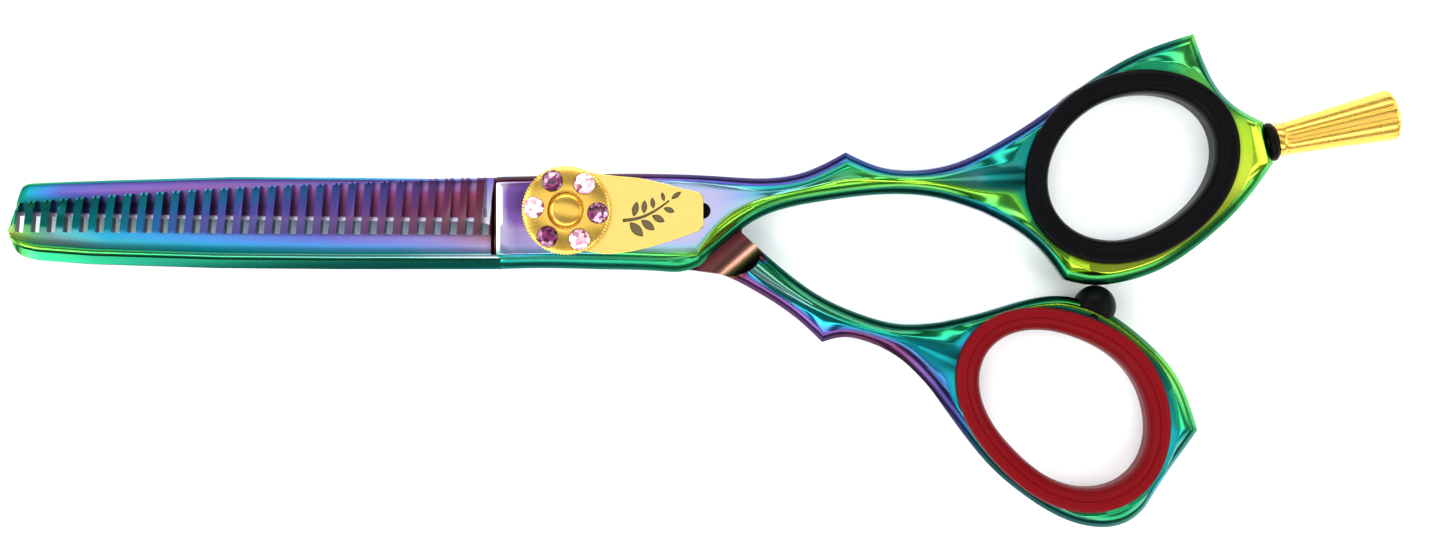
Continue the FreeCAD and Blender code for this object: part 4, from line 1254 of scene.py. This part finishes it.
def makeCap(gold):
    values = dialCap
    radius, shank, low = (values[key] for key in ("radius", "shankRadius", "low"))
    dome = [(radius * math.sin(t), values["domeLow"] + values["domeRise"] * math.cos(t))
            for t in np.linspace(math.pi / 2, 0, 16)]
    profile = [(0.0, values["shankLow"]), (shank, values["shankLow"]), (shank, low), (radius - 0.08, low),
               (radius, low + 0.08), *dome]
    cap = turnedPiece("dialCap", profile, 64)
    smoothShade(cap, 40)
    publish(cap, "finger_side", "dial_cap", gold)


fingerRest = {
    "face": (84.88, 8.32, 3.2),
    "angle": 12.75,
    "flutes": 10,
    "depth": 0.07,
    "grooveShare": 0.2,
    "start": 1.2,
    "length": 15.4,
    "dome": 1.1,
    "baseRadius": 1.95,
    "endRadius": 3.15,
    "ringRadius": 1.76,
    "ringThickness": 0.6,
}


def placeOnRest(piece):
    piece.rotation_euler = (0, math.pi / 2, math.radians(fingerRest["angle"]))
    piece.location = Vector(fingerRest["face"]) * mm
    settle(piece)


def makeFingerRest(gold, rubber):
    values = fingerRest
    base, end, start, length = (values[key] for key in ("baseRadius", "endRadius", "start", "length"))
    collar = [(0.0, start), (1.1, start), (base - 0.1, start), (base, start + 0.1), (base, start + 0.85),
              (base - 0.07, start + 0.95)]
    horn = [(base + (end - base) * t ** 1.08, start + 1.0 + (length - start - 1.0) * t)
            for t in np.linspace(0, 1, 24)]
    dome = [(end * math.cos(t * math.pi / 2), length + values["dome"] * math.sin(t * math.pi / 2))
            for t in np.linspace(0.08, 1, 12)]
    # The flutes start after the collar and its neighbour, and fade out over the dome
    fluted = len(collar) - 1

    def reach(angle, row):
        if row < fluted:
            return 1.0
        place = angle * values["flutes"] / (2 * math.pi) % 1.0
        aside = min(1.0, abs(place - 0.5) / values["grooveShare"])
        hollow = 0.5 + 0.5 * math.cos(math.pi * aside)
        fade = min(1.0, (row - fluted) / 2)
        tail = max(0.0, 1 - max(0, row - fluted - len(horn)) / 8)
        return 1 - values["depth"] * hollow * fade * tail

    profile = collar + horn + dome + [(0.0, length + values["dome"])]
    rest = turnedPiece("fingerRest", profile, values["flutes"] * 20, reach)
    placeOnRest(rest)
    smoothShade(rest, 60)
    publish(rest, "rest_horn", "finger_rest", gold)
    thickness = values["ringThickness"] * mm
    bpy.ops.mesh.primitive_torus_add(major_radius=values["ringRadius"] * mm, minor_radius=thickness,
                                     major_segments=64, minor_segments=24, location=(0, 0, thickness))
    ring = freshPiece("fingerRestRing")
    settle(ring)
    placeOnRest(ring)
    smoothShade(ring, 60)
    publish(ring, "rest_carrier", "finger_rest_ring", rubber)


bumper = {
    "radius": 2.6,
    "trunk": 1.4,
    "place": (64.01, -11.58, middleHeight),
    "facing": (0.345, 0.938, 0),
}


def makeBumper(rubber):
    radius = bumper["radius"]
    bpy.ops.mesh.primitive_uv_sphere_add(segments=64, ring_count=32, radius=radius * mm)
    ball = freshPiece("bumper")
    cutWith(ball, cylinder("trunk", radius - 0.02, -bumper["trunk"], 0, vertices=64), "UNION")
    ball.rotation_euler = Vector(bumper["facing"]).to_track_quat("Z", "X").to_euler()
    ball.location = Vector(bumper["place"]) * mm
    settle(ball)
    smoothShade(ball, 50)
    publish(ball, "thumb_side", "bumper", rubber)


stage = {
    "floor": (0.90, 0.92, 0.92),
    "world": (0.82, 0.92, 1.0),
    "worldStrength": 0.3,
    "fill": 3.6,
    "fillReach": 0.7,
    "fillSize": 0.6,
    "eye": (18.7, -7.5, 285.0),
    "viewWidth": 175.5,
    # name, place in metres, width and height in metres, brightness
    "boxes": [
        ("over", (0.02, 0.02, 0.70), (1.00, 0.28), 1.1),
        ("leftBox", (-0.46, 0.04, 0.34), (0.34, 0.24), 3.6),
        ("rightBox", (0.52, -0.02, 0.30), (0.40, 0.22), 3.6),
        ("frontBox", (0.02, -0.50, 0.38), (0.90, 0.20), 4.0),
        ("backBox", (0.02, 0.50, 0.38), (0.90, 0.20), 4.2),
        ("cornerBox", (-0.42, -0.42, 0.38), (0.30, 0.30), 4.0),
    ],
}


def addLamp(name, place, size, energy, aim):
    bpy.ops.object.light_add(type="AREA", location=place)
    lamp = bpy.context.object
    lamp.name = name
    lamp.data.shape = "RECTANGLE"
    lamp.data.size, lamp.data.size_y = size
    lamp.data.energy = energy
    lamp.rotation_euler = (Vector(aim) - Vector(place)).to_track_quat("-Z", "Y").to_euler()
    return lamp


def makeStage():
    bpy.ops.mesh.primitive_plane_add(size=1.6, location=(0, 0, -0.00005))
    floor = freshPiece("floor")
    placeMaterial(floor, plainMaterial("floorPaper", stage["floor"], 0.0, 0.6))
    world = bpy.data.worlds.new("studio")
    bpy.context.scene.world = world
    world.use_nodes = True
    background = world.node_tree.nodes["Background"].inputs
    background["Color"].default_value = (*stage["world"], 1)
    background["Strength"].default_value = stage["worldStrength"]
    for name, place, size, brightness in stage["boxes"]:
        addLamp(name, place, size, brightness * math.pi * size[0] * size[1], (0.015, -0.005, 0))
    # Soft fill from four sides that the polished metal doesn't mirror
    for index in range(4):
        place = Vector((*onCircle(1, math.pi / 2 * index), 1.0)) * stage["fillReach"]
        lamp = addLamp("fill" + str(index + 1), place, (stage["fillSize"],) * 2, stage["fill"], (0, 0, 0))
        lamp.visible_glossy = False
    bpy.ops.object.camera_add(location=Vector(stage["eye"]) * mm)
    camera = bpy.context.object
    camera.rotation_euler = (0, 0, 0)
    camera.data.sensor_width = 36
    camera.data.lens = 36 * (stage["eye"][2] - 4.0) / stage["viewWidth"]
    bpy.context.scene.camera = camera
    bpy.context.scene.view_settings.view_transform = "Standard"
    print("stage ready")


filmPolished = filmMaterial("filmPolished", 0.22)
# Painted shade for the walls of the comb's slots
paintedSlotShade = plainMaterial("paintedSlotShade", (0.028, 0.012, 0.036), 1.0, 0.3)
gold = goldMaterial("gold", (0.94, 0.56, 0.10), 0.22, 0.32)
paleGold = goldMaterial("paleGold", (0.90, 0.66, 0.18), 0.2, 0.3)
engravedGold = plainMaterial("engravedGold", (0.10, 0.075, 0.03), 0.3, 0.6)
steel = goldMaterial("steel", (0.56, 0.57, 0.58), 0.2, 0.32)
blackRubber = rubberMaterial("blackRubber", (0.0015, 0.0015, 0.002))
redRubber = rubberMaterial("redRubber", (0.125, 0.002, 0.004))
# The lightest colour of each stone is a painted glint on its back facets
amethyst = crystalMaterial("amethyst", [(0.02, 0.001, 0.012), (0.12, 0.01, 0.055), (0.24, 0.03, 0.13),
                                        (0.8, 0.45, 0.7)])
rose = crystalMaterial("rose", [(0.32, 0.08, 0.12), (0.85, 0.42, 0.52), (1.0, 0.72, 0.78), (1.0, 0.97, 0.98)])
print("materials ready")

makeCombHalf(filmPolished, paintedSlotShade)
makeStraightHalf(filmPolished)
ringInsert("fingerInsert", fingerSide, "finger_side", "finger_insert", blackRubber)
ringInsert("thumbInsert", thumbSide, "thumb_side", "thumb_insert", redRubber)
makeLeafPlate(paleGold, engravedGold)
makeDial(gold)
makeCrystals(amethyst, rose)
makeCap(gold)
makeFingerRest(gold, blackRubber)
makeBumper(blackRubber)
for node in ("pivot_bush", "rear_washer", "thrust_washer"):
    placeMaterial(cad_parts[node], steel)
for node in ("pivot_screw", "leaf_pin", "dial_spring", "finger_rest_stud"):
    placeMaterial(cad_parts[node], gold)
makeStage()
